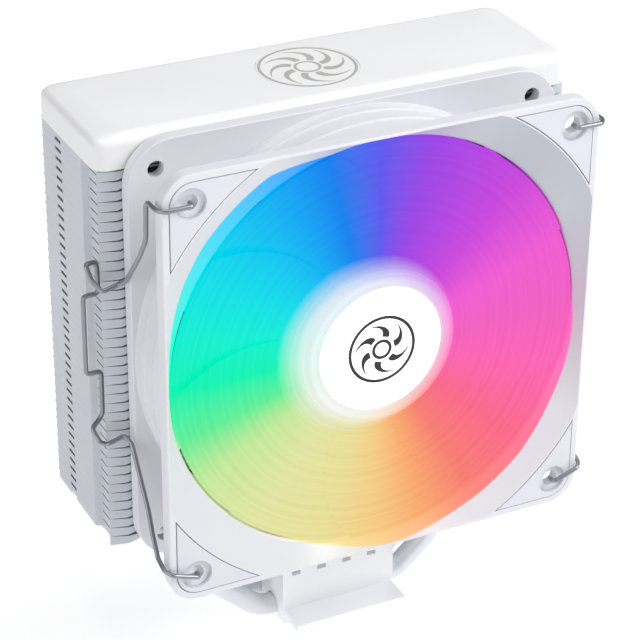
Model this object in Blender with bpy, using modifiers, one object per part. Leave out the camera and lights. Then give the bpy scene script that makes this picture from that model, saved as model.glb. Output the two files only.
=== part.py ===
"""CPU tower cooler: a finned tower on four heat pipes, with a clipped 120 mm lit fan.

Metres, +Z up. The origin is the middle of the base block's underside, which sits on the processor.
The fan is on the -Y side and blows towards +Y, through the fins.
"""
import math

import bmesh
import bpy
from mathutils import Matrix, Vector

# ------------------------------------------------------------------ driving dimensions
MM = 0.001
GAP = 0.3 * MM                      # clearance left between neighbouring pieces

# base
BASE_WIDTH = 34 * MM                # along X
BASE_DEPTH = 44 * MM                # block, along Y
LEDGE_DEPTH = 61 * MM               # over the ledges at the block's front and rear
LEDGE_WIDTH = 33.4 * MM
LEDGE_LOW = 2.5 * MM
LEDGE_THICK = 2 * MM
BLOCK_TOP = 19.5 * MM
BLOCK_SLOTS = 4                     # cooling slots across the block's top
SLOT_PITCH = 7.7 * MM
SLOT_MIDDLE = -1.4 * MM             # X of the middle of the row of slots
SLOT_WIDTH = 2.7 * MM
SLOT_FLOOR = 15.2 * MM

# heat pipes
PIPE_RADIUS = 3 * MM
PIPE_ROWS = 4
PIPE_ROW_PITCH = 10 * MM            # along Y
PIPE_HEIGHT = 2.8 * MM              # axis above the contact face, inside the block
PIPE_FLAT = 0.05 * MM               # the pipes' underside is milled flat at this height
PIPE_EXIT = BASE_WIDTH / 2 + GAP    # X where a pipe leaves the block and starts to bend
PIPE_BEND = 10 * MM
PIPE_SLANT = math.radians(42)       # slope of the straight run between the two bends
PIPE_WIDE_LEG = 45 * MM             # X of an upright leg
PIPE_TIGHT_LEG = 33 * MM
PIPE_TOP = 148.5 * MM

# fins
FIN_WIDTH = 131 * MM
FIN_DEPTH = 40 * MM
FIN_THICK = 0.4 * MM
FIN_PITCH = 2.7 * MM
FINS_PER_PACK = 4
FIN_PACKS = 10
STACK_BOTTOM = 40.3 * MM
TAB_FRONT = -8 * MM                 # folded side tab, from here
TAB_REAR = 12 * MM                  # to here along Y
GROOVE_FRONT = -17.6 * MM           # groove for the wire clip's rail
GROOVE_REAR = -8.6 * MM
GROOVE_DEPTH = 1.4 * MM
FIN_CORNER = 4.5 * MM               # the front corners slant back over this width

# cover
COVER_WIDTH = 132.6 * MM
COVER_DEPTH = 40 * MM
COVER_BOTTOM = 146.3 * MM
COVER_TOP = 155 * MM
COVER_WALL = 1.6 * MM
COVER_ROUND = 2.6 * MM
MEDALLION_RADIUS = 13.2 * MM
MEDALLION_THICK = 0.9 * MM
MEDALLION_RECESS = 0.7 * MM

# fan
FAN_SIZE = 120 * MM
FAN_DEPTH = 25 * MM
FAN_REAR = -20.5 * MM
FAN_FRONT = FAN_REAR - FAN_DEPTH
FAN_HEIGHT = 94.5 * MM              # fan axis above the contact face
FLANGE_THICK = 4 * MM
FLANGE_ROUND_FRONT = 8 * MM
FLANGE_ROUND_REAR = 12 * MM
BARREL_OUTER = 59.4 * MM
BARREL_INNER = 57.6 * MM
MOUTH_RADIUS = 58.8 * MM
MOUTH_FLARE = 2 * MM                # length of the flare at each end of the duct
HOLE_SPACING = 105 * MM
HOLE_RADIUS = 2.2 * MM
STRUT_WIDTH = 5 * MM
STRUTS = 4
STRUT_TURN = math.radians(20)
STRUT_REAR = FAN_REAR - 0.5 * MM
STRUT_THICK = 2 * MM
MOTOR_BASE_RADIUS = 22.5 * MM
BOSS_INNER = 4.3 * MM
BOSS_OUTER = 5.5 * MM
BOSS_FRONT = -38 * MM

# rubber corner pads
PAD_THICK = 1.1 * MM
PAD_PROUD = 0.2 * MM
PAD_INSET = 1.1 * MM                # pad edge to flange edge
PAD_ARC = 68 * MM                   # inner edge, about the fan's axis
PAD_HOLE = 4 * MM

# rotor
BLADES = 9
BLADE_TIP = 57 * MM
BLADE_THICK = 1.2 * MM
BLADE_SPAN = math.radians(60)       # angle one blade covers about the axis at its tip
ROOT_SPAN = math.radians(14)        # added to that at the hub
BLADE_SWEEP = math.radians(16)
BLADE_FRONT = -42.2 * MM
BLADE_REAR = -27.4 * MM
BLADE_CURL = 3                      # flat where the air enters, steep where it leaves
ROOT_OVERLAP = 0.4 * MM             # how far a blade's root goes into the hub
HUB_RADIUS = 21.5 * MM
HUB_INNER = 20 * MM
HUB_FRONT = -43.8 * MM
HUB_WALL = 1.4 * MM
HUB_REAR = -27 * MM
HUB_CHAMFER = 1.5 * MM
HUB_BOSS_RADIUS = 3.6 * MM
HUB_BOSS_LENGTH = 3 * MM
CAP_RADIUS = 17.2 * MM
CAP_THICK = 1 * MM
SHAFT_RADIUS = 1.5 * MM
SHAFT_FRONT = -41.9 * MM
SHAFT_REAR = -22.6 * MM
RETAINER_RADIUS = 3.4 * MM
RETAINER_THICK = 0.4 * MM
YOKE_OUTER = 19.7 * MM
YOKE_WALL = 0.9 * MM
YOKE_FRONT = -41 * MM
YOKE_REAR = -27.6 * MM
YOKE_HOLE = 4.2 * MM
MAGNET_OUTER = 18.5 * MM
MAGNET_INNER = 16.9 * MM
MAGNET_FRONT = -39.6 * MM
MAGNET_REAR = -28.2 * MM

# stator
STATOR_RADIUS = 16.2 * MM
STATOR_FRONT = -37 * MM
STATOR_REAR = -29 * MM
POLES = 4
POLE_HALF_ANGLE = math.radians(35)
SHOE_INNER = 14 * MM
ARM_WIDTH = 4 * MM
CORE_RING = 8 * MM
COIL_WIDTH = 9 * MM
COIL_START = 8.8 * MM
COIL_END = 12.4 * MM
COIL_DEPTH = 11 * MM
COIL_CHAMFER = 1.2 * MM
BOARD_RADIUS = 21.3 * MM
BOARD_FRONT = -24.8 * MM
BOARD_REAR = -23.8 * MM
LEDS = 6
LED_SIZE = 2.8 * MM
LED_THICK = 1.3 * MM
LED_RING = 19.6 * MM
LABEL_RADIUS = 17 * MM
LABEL_THICK = 0.25 * MM

# wire clips
WIRE_RADIUS = 0.8 * MM
RAIL_X = 65.4 * MM                  # rail centre line, in the fins' groove
RAIL_Y = -16 * MM
HANDLE_REACH = 4 * MM
HANDLE_BOTTOM = -5.5 * MM           # from the fan's axis
HANDLE_TOP = 18 * MM
CLIP_CLEARANCE = 0.4 * MM
HOOK_REACH = 0.6 * MM               # how far a hook's tip goes behind the fan's front face

SEGMENTS = 44                       # sides of the large circles
SIDES = (-1, 1)


# ------------------------------------------------------------------ scene and materials
def clear_scene():
    for obj in list(bpy.data.objects):
        bpy.data.objects.remove(obj, do_unlink=True)


def new_collection(name):
    collection = bpy.data.collections.new(name)
    bpy.context.scene.collection.children.link(collection)
    return collection


def material(name, colour, roughness, metallic=0.0):
    mat = bpy.data.materials.new(name)
    mat.use_nodes = True
    shader = mat.node_tree.nodes["Principled BSDF"]
    shader.inputs["Base Color"].default_value = (*colour, 1.0)
    shader.inputs["Roughness"].default_value = roughness
    shader.inputs["Metallic"].default_value = metallic
    mat.diffuse_color = (*colour, 1.0)
    return mat


FINISHES = {
    "fin_aluminium": ((0.78, 0.80, 0.84), 0.35, 1.0),
    "plated_copper": ((0.82, 0.83, 0.85), 0.25, 1.0),
    "base_aluminium": ((0.80, 0.81, 0.85), 0.4, 1.0),
    "white_cover": ((0.90, 0.90, 0.91), 0.4, 0.0),
    "medallion_grey": ((0.70, 0.69, 0.66), 0.4, 0.0),
    "white_frame": ((0.88, 0.88, 0.91), 0.45, 0.0),
    "pad_rubber": ((0.80, 0.80, 0.88), 0.7, 0.0),
    "lit_blades": ((0.75, 0.80, 0.95), 0.3, 0.0),
    "lit_cap": ((0.95, 0.95, 0.95), 0.3, 0.0),
    "steel": ((0.60, 0.60, 0.62), 0.3, 1.0),
    "magnet": ((0.10, 0.10, 0.11), 0.6, 0.0),
    "stator_steel": ((0.35, 0.36, 0.38), 0.5, 1.0),
    "coil_copper": ((0.72, 0.35, 0.18), 0.35, 1.0),
    "brass": ((0.80, 0.62, 0.30), 0.35, 1.0),
    "board": ((0.05, 0.22, 0.12), 0.5, 0.0),
    "led": ((0.95, 0.95, 0.85), 0.3, 0.0),
    "label": ((0.85, 0.85, 0.86), 0.5, 0.0),
}


# ------------------------------------------------------------------ modelling helpers
def add_object(name, mesh, finish, collection):
    """Link a mesh as a named part with a material of its own."""
    obj = bpy.data.objects.new(name, mesh)
    colour, roughness, metallic = FINISHES[finish]
    if not mesh.materials:
        mesh.materials.append(material(name, colour, roughness, metallic))
    collection.objects.link(obj)
    return obj


def mesh_from(bm, name):
    bmesh.ops.recalc_face_normals(bm, faces=bm.faces)
    mesh = bpy.data.meshes.new(name)
    bm.to_mesh(mesh)
    bm.free()
    return mesh


def box_mesh(name, low, high):
    bm = bmesh.new()
    size = Vector(high) - Vector(low)
    middle = (Vector(high) + Vector(low)) / 2
    matrix = Matrix.Translation(middle) @ Matrix.Diagonal((*size, 1.0))
    bmesh.ops.create_cube(bm, size=1.0, matrix=matrix)
    return mesh_from(bm, name)


def extruded_mesh(name, outlines, low, high):
    """A flat outline with holes, filled and extruded from z = low to z = high."""
    curve = bpy.data.curves.new(name, "CURVE")
    curve.dimensions = "2D"
    curve.fill_mode = "BOTH"
    curve.extrude = (high - low) / 2
    for outline in outlines:
        spline = curve.splines.new("POLY")
        spline.points.add(len(outline) - 1)
        for point, (x, y) in zip(spline.points, outline):
            point.co = (x, y, 0.0, 1.0)
        spline.use_cyclic_u = True
    matrix = Matrix.Translation((0.0, 0.0, (low + high) / 2))
    return curve_to_mesh(name, curve, matrix)


def curve_to_mesh(name, curve, matrix=Matrix.Identity(4)):
    """Turn a curve into a closed mesh with its caps welded on, and drop the curve."""
    obj = bpy.data.objects.new(name, curve)
    bpy.context.scene.collection.objects.link(obj)
    bpy.context.view_layer.update()
    evaluated = obj.evaluated_get(bpy.context.evaluated_depsgraph_get())
    mesh = bpy.data.meshes.new_from_object(evaluated)
    bpy.data.objects.remove(obj)
    bpy.data.curves.remove(curve)
    bm = bmesh.new()
    bm.from_mesh(mesh)
    bpy.data.meshes.remove(mesh)
    bmesh.ops.remove_doubles(bm, verts=bm.verts, dist=1e-6)
    bmesh.ops.transform(bm, matrix=matrix, verts=bm.verts)
    return mesh_from(bm, name)


def turned_object(name, profile, finish, collection, segments=SEGMENTS):
    """A closed (radius, height) profile turned about local Z by a Screw modifier."""
    mesh = bpy.data.meshes.new(name)
    count = len(profile)
    closed = profile[0][0] > 0.0 or profile[-1][0] > 0.0
    edges = [(i, (i + 1) % count) for i in range(count if closed else count - 1)]
    mesh.from_pydata([(radius, 0.0, height) for radius, height in profile], edges, [])
    obj = add_object(name, mesh, finish, collection)
    screw = obj.modifiers.new("Screw", "SCREW")
    screw.steps = segments
    screw.render_steps = segments
    screw.use_merge_vertices = True
    screw.merge_threshold = 0.00001
    return obj


def ring_profile(inner, outer, low, high):
    return [(outer, high), (outer, low), (inner, low), (inner, high)]


def disc_profile(radius, low, high):
    return [(0.0, high), (radius, high), (radius, low), (0.0, low)]


def bake(obj):
    """Replace an object's mesh by its evaluated one and drop its modifiers."""
    bpy.context.view_layer.update()
    evaluated = obj.evaluated_get(bpy.context.evaluated_depsgraph_get())
    mesh = bpy.data.meshes.new_from_object(evaluated)
    obj.modifiers.clear()
    obj.data = mesh
    return obj


def combine(obj, other, operation):
    boolean = obj.modifiers.new(operation.title(), "BOOLEAN")
    boolean.operation = operation
    boolean.solver = "EXACT"
    boolean.object = other
    return obj


def as_cutter(obj, cutters):
    for collection in obj.users_collection:
        collection.objects.unlink(obj)
    cutters.objects.link(obj)
    obj.hide_render = True
    obj.display_type = "WIRE"
    return obj


def cutter(name, mesh, cutters):
    obj = bpy.data.objects.new(name, mesh)
    return as_cutter(obj, cutters)


def bevelled(obj, width, segments=1):
    bevel = obj.modifiers.new("Bevel", "BEVEL")
    bevel.width = width
    bevel.segments = segments
    bevel.limit_method = "ANGLE"
    bevel.angle_limit = math.radians(40)
    return obj


def arc(radius, start, end, steps, centre=(0.0, 0.0)):
    angles = [start + (end - start) * i / steps for i in range(steps + 1)]
    return [(centre[0] + radius * math.cos(a), centre[1] + radius * math.sin(a)) for a in angles]


def circle(radius, sides, centre=(0.0, 0.0), turn=0.0):
    return arc(radius, turn, turn + math.tau * (1 - 1 / sides), sides - 1, centre)


def rounded_square(half, radius, steps=4):
    """Outline of a square with round corners, anticlockwise from the right side."""
    points = []
    for quarter in range(4):
        start = quarter * math.pi / 2
        turn = Matrix.Rotation(start, 2)
        centre = turn @ Vector((half - radius, half - radius))
        points += arc(radius, start, start + math.pi / 2, steps, centre)
    return points


def joined_mesh(name, meshes_and_places):
    """Copies of meshes, each at its own matrix, in one mesh."""
    bm = bmesh.new()
    for mesh, matrix in meshes_and_places:
        before = set(bm.verts)
        bm.from_mesh(mesh)
        fresh = [vert for vert in bm.verts if vert not in before]
        bmesh.ops.transform(bm, matrix=matrix, verts=fresh)
    return mesh_from(bm, name)


# local Z of a fan piece points to the front, world -Y; its X and Y face world X and Z
FAN_TURN = Matrix.Translation((0.0, 0.0, FAN_HEIGHT)) @ Matrix.Rotation(math.pi / 2, 4, "X")


def forward(y):
    """World Y as height along a fan piece's local Z."""
    return -y


# ------------------------------------------------------------------ base and heat pipes
def pipe_rows():
    """(y, left leg x, right leg x) of each pipe; wide and tight legs alternate."""
    rows = []
    for row in range(PIPE_ROWS):
        y = (row - (PIPE_ROWS - 1) / 2) * PIPE_ROW_PITCH
        wide_left = row % 2 == 0
        left = PIPE_WIDE_LEG if wide_left else PIPE_TIGHT_LEG
        right = PIPE_TIGHT_LEG if wide_left else PIPE_WIDE_LEG
        rows.append((y, -left, right))
    return rows


def make_base_block(parts, cutters):
    """A block with a thin ledge at its front and rear, slots on top and a groove for each pipe."""
    half_x = BASE_WIDTH / 2
    half_y = BASE_DEPTH / 2
    mesh = box_mesh("base_block", (-half_x, -half_y, 0.0), (half_x, half_y, BLOCK_TOP))
    block = add_object("base_block", mesh, "base_aluminium", parts)
    low = (-LEDGE_WIDTH / 2, -LEDGE_DEPTH / 2, LEDGE_LOW)
    high = (LEDGE_WIDTH / 2, LEDGE_DEPTH / 2, LEDGE_LOW + LEDGE_THICK)
    combine(block, cutter("ledge", box_mesh("ledge", low, high), cutters), "UNION")
    for slot in range(BLOCK_SLOTS):
        x = SLOT_MIDDLE + (slot - (BLOCK_SLOTS - 1) / 2) * SLOT_PITCH
        low = (x - SLOT_WIDTH / 2, -BASE_DEPTH, SLOT_FLOOR)
        high = (x + SLOT_WIDTH / 2, BASE_DEPTH, BLOCK_TOP + SLOT_WIDTH)
        combine(block, cutter("block_slot", box_mesh("block_slot", low, high), cutters), "DIFFERENCE")
    radius = PIPE_RADIUS + GAP
    for y, _, _ in pipe_rows():
        outline = arc(radius, 0.0, math.pi, 8)
        outline += [(-radius, -2 * PIPE_HEIGHT), (radius, -2 * PIPE_HEIGHT)]
        groove = extruded_mesh("pipe_groove", [outline], -BASE_WIDTH, BASE_WIDTH)
        lay = Matrix.Rotation(math.pi / 2, 4, "Z") @ Matrix.Rotation(math.pi / 2, 4, "X")
        groove.transform(Matrix.Translation((0.0, y, PIPE_HEIGHT)) @ lay)
        combine(block, cutter("pipe_groove", groove, cutters), "DIFFERENCE")


def pipe_half(leg_x, y):
    """Points from just outside the block, round a bend, up a slant and up one leg."""
    side = math.copysign(1.0, leg_x)
    lower = arc(PIPE_BEND, -math.pi / 2, PIPE_SLANT - math.pi / 2, 4,
                (PIPE_EXIT, PIPE_HEIGHT + PIPE_BEND))
    run = (abs(leg_x) - PIPE_EXIT - PIPE_BEND) / math.cos(PIPE_SLANT)
    centre_x = abs(leg_x) - PIPE_BEND
    centre_z = PIPE_HEIGHT + PIPE_BEND + run * math.sin(PIPE_SLANT)
    upper = arc(PIPE_BEND, PIPE_SLANT - math.pi / 2, 0.0, 4, (centre_x, centre_z))
    points = [(side * x, y, z) for x, z in lower + upper]
    return points + [(leg_x, y, PIPE_TOP)]


def make_heat_pipes(parts, cutters):
    """Four pipes, milled flush with the block's underside where they touch the processor."""
    low = (-PIPE_WIDE_LEG, -LEDGE_DEPTH, -PIPE_RADIUS)
    high = (PIPE_WIDE_LEG, LEDGE_DEPTH, PIPE_FLAT)
    slab = cutter("milling_slab", box_mesh("milling_slab", low, high), cutters)
    for number, (y, left, right) in enumerate(pipe_rows(), start=1):
        name = f"heat_pipe_{number}"
        route = pipe_half(left, y)[::-1] + pipe_half(right, y)
        pipe = add_object(name, tube_mesh(name, route, PIPE_RADIUS, 4), "plated_copper", parts)
        combine(pipe, slab, "DIFFERENCE")


def tube_mesh(name, route, radius, resolution=2):
    curve = bpy.data.curves.new(name, "CURVE")
    curve.dimensions = "3D"
    curve.bevel_depth = radius
    curve.bevel_resolution = resolution
    curve.use_fill_caps = True
    spline = curve.splines.new("POLY")
    spline.points.add(len(route) - 1)
    for point, place in zip(spline.points, route):
        point.co = (*place, 1.0)
    return curve_to_mesh(name, curve)


# ------------------------------------------------------------------ fins
def fin_side(side):
    """Outline points of one side, front to rear, with the clip's groove."""
    edge = FIN_WIDTH / 2
    floor = edge - GROOVE_DEPTH
    half = FIN_DEPTH / 2
    lead = GROOVE_DEPTH / 2
    points = [(edge - FIN_CORNER, -half), (edge, GROOVE_FRONT - lead), (floor, GROOVE_FRONT),
              (floor, GROOVE_REAR), (edge, GROOVE_REAR + lead), (edge, half)]
    return [(side * x, y) for x, y in points]


def fin_outlines():
    """A fin's edge and its pipe holes, whose corners are turned so that no three line up."""
    outer = fin_side(1) + fin_side(-1)[::-1]
    hexagon = (PIPE_RADIUS + GAP) / math.cos(math.pi / 6)
    holes = []
    for row, (y, left, right) in enumerate(pipe_rows()):
        turn = math.radians(6 + 7 * row)
        holes += [circle(hexagon, 6, (left, y), turn), circle(hexagon, 6, (right, y), -turn)]
    return [outer] + holes


def fin_pack_mesh():
    """Four fins held together by the folded tabs along their two sides."""
    outlines = fin_outlines()
    fins = []
    for level in range(FINS_PER_PACK):
        low = level * FIN_PITCH
        fins.append((extruded_mesh("fin", outlines, low, low + FIN_THICK), Matrix.Identity(4)))
    stack = bpy.data.objects.new("fins", joined_mesh("fins", fins))
    bpy.context.scene.collection.objects.link(stack)
    drop = FIN_PITCH - FIN_THICK - GAP
    top = (FINS_PER_PACK - 1) * FIN_PITCH + FIN_THICK / 2
    edge = FIN_WIDTH / 2
    tabs = []
    for side in SIDES:
        inner, outer = sorted((side * (edge - FIN_THICK), side * edge))
        tab = box_mesh("tab", (inner, TAB_FRONT, -drop), (outer, TAB_REAR, top))
        tabs.append((tab, Matrix.Identity(4)))
    folded = bpy.data.objects.new("tabs", joined_mesh("tabs", tabs))
    bpy.context.scene.collection.objects.link(folded)
    combine(stack, folded, "UNION")
    mesh = bake(stack).data
    bpy.data.objects.remove(stack)
    bpy.data.objects.remove(folded)
    mesh.name = "fin_pack"
    return mesh


def make_fins(parts):
    mesh = fin_pack_mesh()
    for number in range(FIN_PACKS):
        height = STACK_BOTTOM + number * FINS_PER_PACK * FIN_PITCH
        pack = add_object(f"fin_pack_{number + 1:02d}", mesh.copy(), "fin_aluminium", parts)
        pack.location = (0.0, 0.0, height)


# ------------------------------------------------------------------ cover
def make_top_cover(parts, cutters):
    half_x = COVER_WIDTH / 2
    half_y = COVER_DEPTH / 2
    mesh = box_mesh("top_cover", (-half_x, -half_y, COVER_BOTTOM), (half_x, half_y, COVER_TOP))
    bm = bmesh.new()
    bm.from_mesh(mesh)
    underside = [face for face in bm.faces if face.normal.z < -0.5]
    bmesh.ops.delete(bm, geom=underside, context="FACES_ONLY")
    bm.to_mesh(mesh)
    bm.free()
    cover = bevelled(add_object("top_cover", mesh, "white_cover", parts), COVER_ROUND, 3)
    shell = cover.modifiers.new("Solidify", "SOLIDIFY")
    shell.thickness = COVER_WALL
    shell.offset = -1.0
    shell.use_even_offset = True
    floor = COVER_TOP - MEDALLION_RECESS
    outline = circle(MEDALLION_RADIUS + GAP, 32)
    recess = extruded_mesh("medallion_recess", [outline], floor, COVER_TOP + MM)
    combine(cover, cutter("medallion_recess", recess, cutters), "DIFFERENCE")
    low = floor + GAP
    disc = extruded_mesh("medallion", [circle(MEDALLION_RADIUS, 32)], low, low + MEDALLION_THICK)
    add_object("cover_medallion", disc, "medallion_grey", parts)


# ------------------------------------------------------------------ fan frame and pads
def pad_outline(round_radius, grow=0.0):
    """One corner pad in the +X +Y corner: two straight sides, a round corner, an arc."""
    side = FAN_SIZE / 2 - PAD_INSET + grow
    inner = PAD_ARC - grow
    corner = round_radius - PAD_INSET + grow
    centre = side - corner
    end = math.acos(side / inner)
    points = arc(corner, 0.0, math.pi / 2, 4, (centre, centre))
    return points + arc(inner, math.pi / 2 - end, end, 8)


def corner_turn(corner):
    return Matrix.Rotation(corner * math.pi / 2, 4, "Z")


def make_pads(parts):
    """Four pads on each face of the frame, let into its corners."""
    half = HOLE_SPACING / 2
    front_top = forward(FAN_FRONT) + PAD_PROUD
    rear_low = forward(FAN_REAR) - PAD_PROUD
    faces = (("front", FLANGE_ROUND_FRONT, front_top - PAD_THICK),
             ("rear", FLANGE_ROUND_REAR, rear_low))
    for face, round_radius, low in faces:
        outlines = [pad_outline(round_radius), circle(PAD_HOLE, 12, (half, half))]
        for corner in range(4):
            name = f"{face}_pad_{corner + 1}"
            mesh = extruded_mesh(name, outlines, low, low + PAD_THICK)
            mesh.transform(FAN_TURN @ corner_turn(corner))
            add_object(name, mesh, "pad_rubber", parts)


def frame_blank():
    """The two flanges and the barrel as overlapping closed solids."""
    front = forward(FAN_FRONT)
    rear = forward(FAN_REAR)
    half = FAN_SIZE / 2
    front_flange = rounded_square(half, FLANGE_ROUND_FRONT)
    rear_flange = rounded_square(half, FLANGE_ROUND_REAR)
    barrel = [circle(BARREL_OUTER, SEGMENTS)]
    return [
        extruded_mesh("front_flange", [front_flange], front - FLANGE_THICK, front),
        extruded_mesh("rear_flange", [rear_flange], rear, rear + FLANGE_THICK),
        extruded_mesh("barrel", barrel, rear + MM, front - MM),
    ]


def duct_cutter(cutters):
    """The air passage: a straight duct with a flared mouth at each end."""
    front = forward(FAN_FRONT)
    rear = forward(FAN_REAR)
    over = MM
    wide = MOUTH_RADIUS + (MOUTH_RADIUS - BARREL_INNER) * over / MOUTH_FLARE
    profile = [(0.0, front + over), (wide, front + over), (BARREL_INNER, front - MOUTH_FLARE),
               (BARREL_INNER, rear + MOUTH_FLARE), (wide, rear - over), (0.0, rear - over)]
    duct = turned_object("duct", profile, "white_frame", cutters)
    duct.matrix_world = FAN_TURN
    return as_cutter(duct, cutters)


def make_motor_mount(parts, cutters):
    """Four struts and the motor base with its bearing boss, moulded with the frame."""
    low = forward(STRUT_REAR)
    high = low + STRUT_THICK
    base = extruded_mesh("motor_mount", [circle(MOTOR_BASE_RADIUS, 32)], low, high)
    mount = add_object("motor_mount", base, "white_frame", parts)
    mount.matrix_world = FAN_TURN
    inset = STRUT_THICK / 10
    reach = BARREL_INNER - GAP
    pieces = [extruded_mesh("boss", [circle(BOSS_OUTER, 16)], low + inset, forward(BOSS_FRONT))]
    for number in range(STRUTS):
        strut = box_mesh("strut", (BOSS_OUTER, -STRUT_WIDTH / 2, low + inset),
                         (reach, STRUT_WIDTH / 2, high - inset))
        strut.transform(Matrix.Rotation(STRUT_TURN + number * math.tau / STRUTS, 4, "Z"))
        pieces.append(strut)
    bore = extruded_mesh("bore", [circle(BOSS_INNER, 16)], low - MM, forward(BOSS_FRONT) + MM)
    for mesh in pieces + [bore]:
        piece = cutter("mount_piece", mesh, cutters)
        piece.matrix_world = FAN_TURN
        combine(mount, piece, "DIFFERENCE" if mesh is bore else "UNION")


def make_fan_frame(parts, cutters):
    blank = frame_blank()
    frame = add_object("fan_frame", blank[0], "white_frame", parts)
    frame.matrix_world = FAN_TURN
    for mesh in blank[1:]:
        piece = cutter("frame_piece", mesh, cutters)
        piece.matrix_world = FAN_TURN
        combine(frame, piece, "UNION")
    combine(frame, duct_cutter(cutters), "DIFFERENCE")
    cut_frame_holes(frame, cutters)


def cut_frame_holes(frame, cutters):
    """Pad recesses and the four screw holes."""
    front = forward(FAN_FRONT)
    rear = forward(FAN_REAR)
    half = HOLE_SPACING / 2
    depth = PAD_THICK - PAD_PROUD + GAP
    front_pocket = extruded_mesh("pocket", [pad_outline(FLANGE_ROUND_FRONT, GAP)],
                                 front - depth, front + MM)
    rear_pocket = extruded_mesh("pocket", [pad_outline(FLANGE_ROUND_REAR, GAP)],
                                rear - MM, rear + depth)
    hole = extruded_mesh("hole", [circle(HOLE_RADIUS, 12, (half, half))], rear - MM, front + MM)
    cuts = []
    for mesh in (front_pocket, rear_pocket, hole):
        cuts.append(joined_mesh("corner_cuts", [(mesh, corner_turn(n)) for n in range(4)]))
    for mesh in cuts:
        piece = cutter("frame_cut", mesh, cutters)
        piece.matrix_world = FAN_TURN
        combine(frame, piece, "DIFFERENCE")


# ------------------------------------------------------------------ rotor
def blade_point(across, outward):
    """A point of a blade: across 0..1 front edge to rear edge, outward 0..1 root to tip."""
    root = HUB_RADIUS - ROOT_OVERLAP
    radius = root + outward * (BLADE_TIP - root)
    sweep = BLADE_SWEEP * outward * outward
    span = BLADE_SPAN + ROOT_SPAN * (1 - outward)
    angle = (across - 0.5) * span + sweep
    front = forward(BLADE_FRONT)
    rear = forward(BLADE_REAR)
    height = front + (rear - front) * across ** BLADE_CURL
    return Vector((radius * math.cos(angle), radius * math.sin(angle), height))


def blade_mesh():
    """One blade as an open helical sheet, thickened to both sides."""
    bm = bmesh.new()
    bmesh.ops.create_grid(bm, x_segments=4, y_segments=4, size=0.5)
    for vert in bm.verts:
        vert.co = blade_point(vert.co.x + 0.5, vert.co.y + 0.5)
    blade = bpy.data.objects.new("blade", mesh_from(bm, "blade"))
    bpy.context.scene.collection.objects.link(blade)
    sheet = blade.modifiers.new("Solidify", "SOLIDIFY")
    sheet.thickness = BLADE_THICK
    sheet.offset = 0.0
    mesh = bake(blade).data
    bpy.data.objects.remove(blade)
    return mesh


def hub_profile():
    """Cup, open to the rear, with a seat for the cap and a boss for the shaft."""
    front = forward(HUB_FRONT)
    rear = forward(HUB_REAR)
    seat = front - CAP_THICK
    under = seat - HUB_WALL
    boss_end = under - HUB_BOSS_LENGTH
    seat_radius = CAP_RADIUS + GAP
    bore = SHAFT_RADIUS + GAP
    bore_end = seat - HUB_WALL / 2
    return [(0.0, seat), (seat_radius, seat), (seat_radius, front), (HUB_RADIUS - HUB_CHAMFER, front),
            (HUB_RADIUS, front - HUB_CHAMFER), (HUB_RADIUS, rear), (HUB_INNER, rear),
            (HUB_INNER, under), (HUB_BOSS_RADIUS, under), (HUB_BOSS_RADIUS, boss_end),
            (bore, boss_end), (bore, bore_end), (0.0, bore_end)]


def make_impeller(parts, cutters):
    impeller = turned_object("impeller", hub_profile(), "lit_blades", parts, 36)
    impeller.matrix_world = FAN_TURN
    blade = blade_mesh()
    turns = [Matrix.Rotation(n * math.tau / BLADES, 4, "Z") for n in range(BLADES)]
    blades = cutter("blades", joined_mesh("blades", [(blade, turn) for turn in turns]), cutters)
    blades.matrix_world = FAN_TURN
    combine(impeller, blades, "UNION")


def fan_turned(name, profile, finish, parts, segments):
    piece = turned_object(name, profile, finish, parts, segments)
    piece.matrix_world = FAN_TURN
    return piece


def make_rotor_insides(parts):
    cap_low = forward(HUB_FRONT) - CAP_THICK + GAP
    fan_turned("hub_cap", disc_profile(CAP_RADIUS, cap_low, cap_low + CAP_THICK), "lit_cap", parts, 36)
    front = forward(YOKE_FRONT)
    rear = forward(YOKE_REAR)
    inner = YOKE_OUTER - YOKE_WALL
    yoke = [(YOKE_OUTER, front), (YOKE_OUTER, rear), (inner, rear), (inner, front - YOKE_WALL),
            (YOKE_HOLE, front - YOKE_WALL), (YOKE_HOLE, front)]
    fan_turned("rotor_yoke", yoke, "steel", parts, 36)
    magnet = ring_profile(MAGNET_INNER, MAGNET_OUTER, forward(MAGNET_REAR), forward(MAGNET_FRONT))
    fan_turned("magnet_ring", magnet, "magnet", parts, 36)
    shaft = disc_profile(SHAFT_RADIUS, forward(SHAFT_REAR), forward(SHAFT_FRONT))
    fan_turned("rotor_shaft", shaft, "steel", parts, 12)
    low = forward(SHAFT_REAR) + GAP
    retainer = ring_profile(SHAFT_RADIUS + GAP, RETAINER_RADIUS, low, low + RETAINER_THICK)
    fan_turned("shaft_retainer", retainer, "steel", parts, 12)


# ------------------------------------------------------------------ stator
def stator_outline():
    """Star of poles: ring, arms and curved shoes, one pole after another."""
    half = ARM_WIDTH / 2
    root = math.asin(half / CORE_RING)
    points = []
    for pole in range(POLES):
        axis = pole * math.tau / POLES
        turn = Matrix.Rotation(axis, 2)
        neck = math.sqrt(SHOE_INNER ** 2 - half ** 2)
        local = [(CORE_RING * math.cos(root), -half), (neck, -half)]
        local += [arc(SHOE_INNER, -POLE_HALF_ANGLE, 0.0, 1)[0]]
        local += arc(STATOR_RADIUS, -POLE_HALF_ANGLE, POLE_HALF_ANGLE, 6)
        local += [arc(SHOE_INNER, POLE_HALF_ANGLE, 0.0, 1)[0]]
        local += [(neck, half), (CORE_RING * math.cos(root), half)]
        points += [tuple(turn @ Vector(point)) for point in local]
        points += arc(CORE_RING, axis + root, axis + math.tau / POLES - root, 3)[1:-1]
    return points


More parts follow.
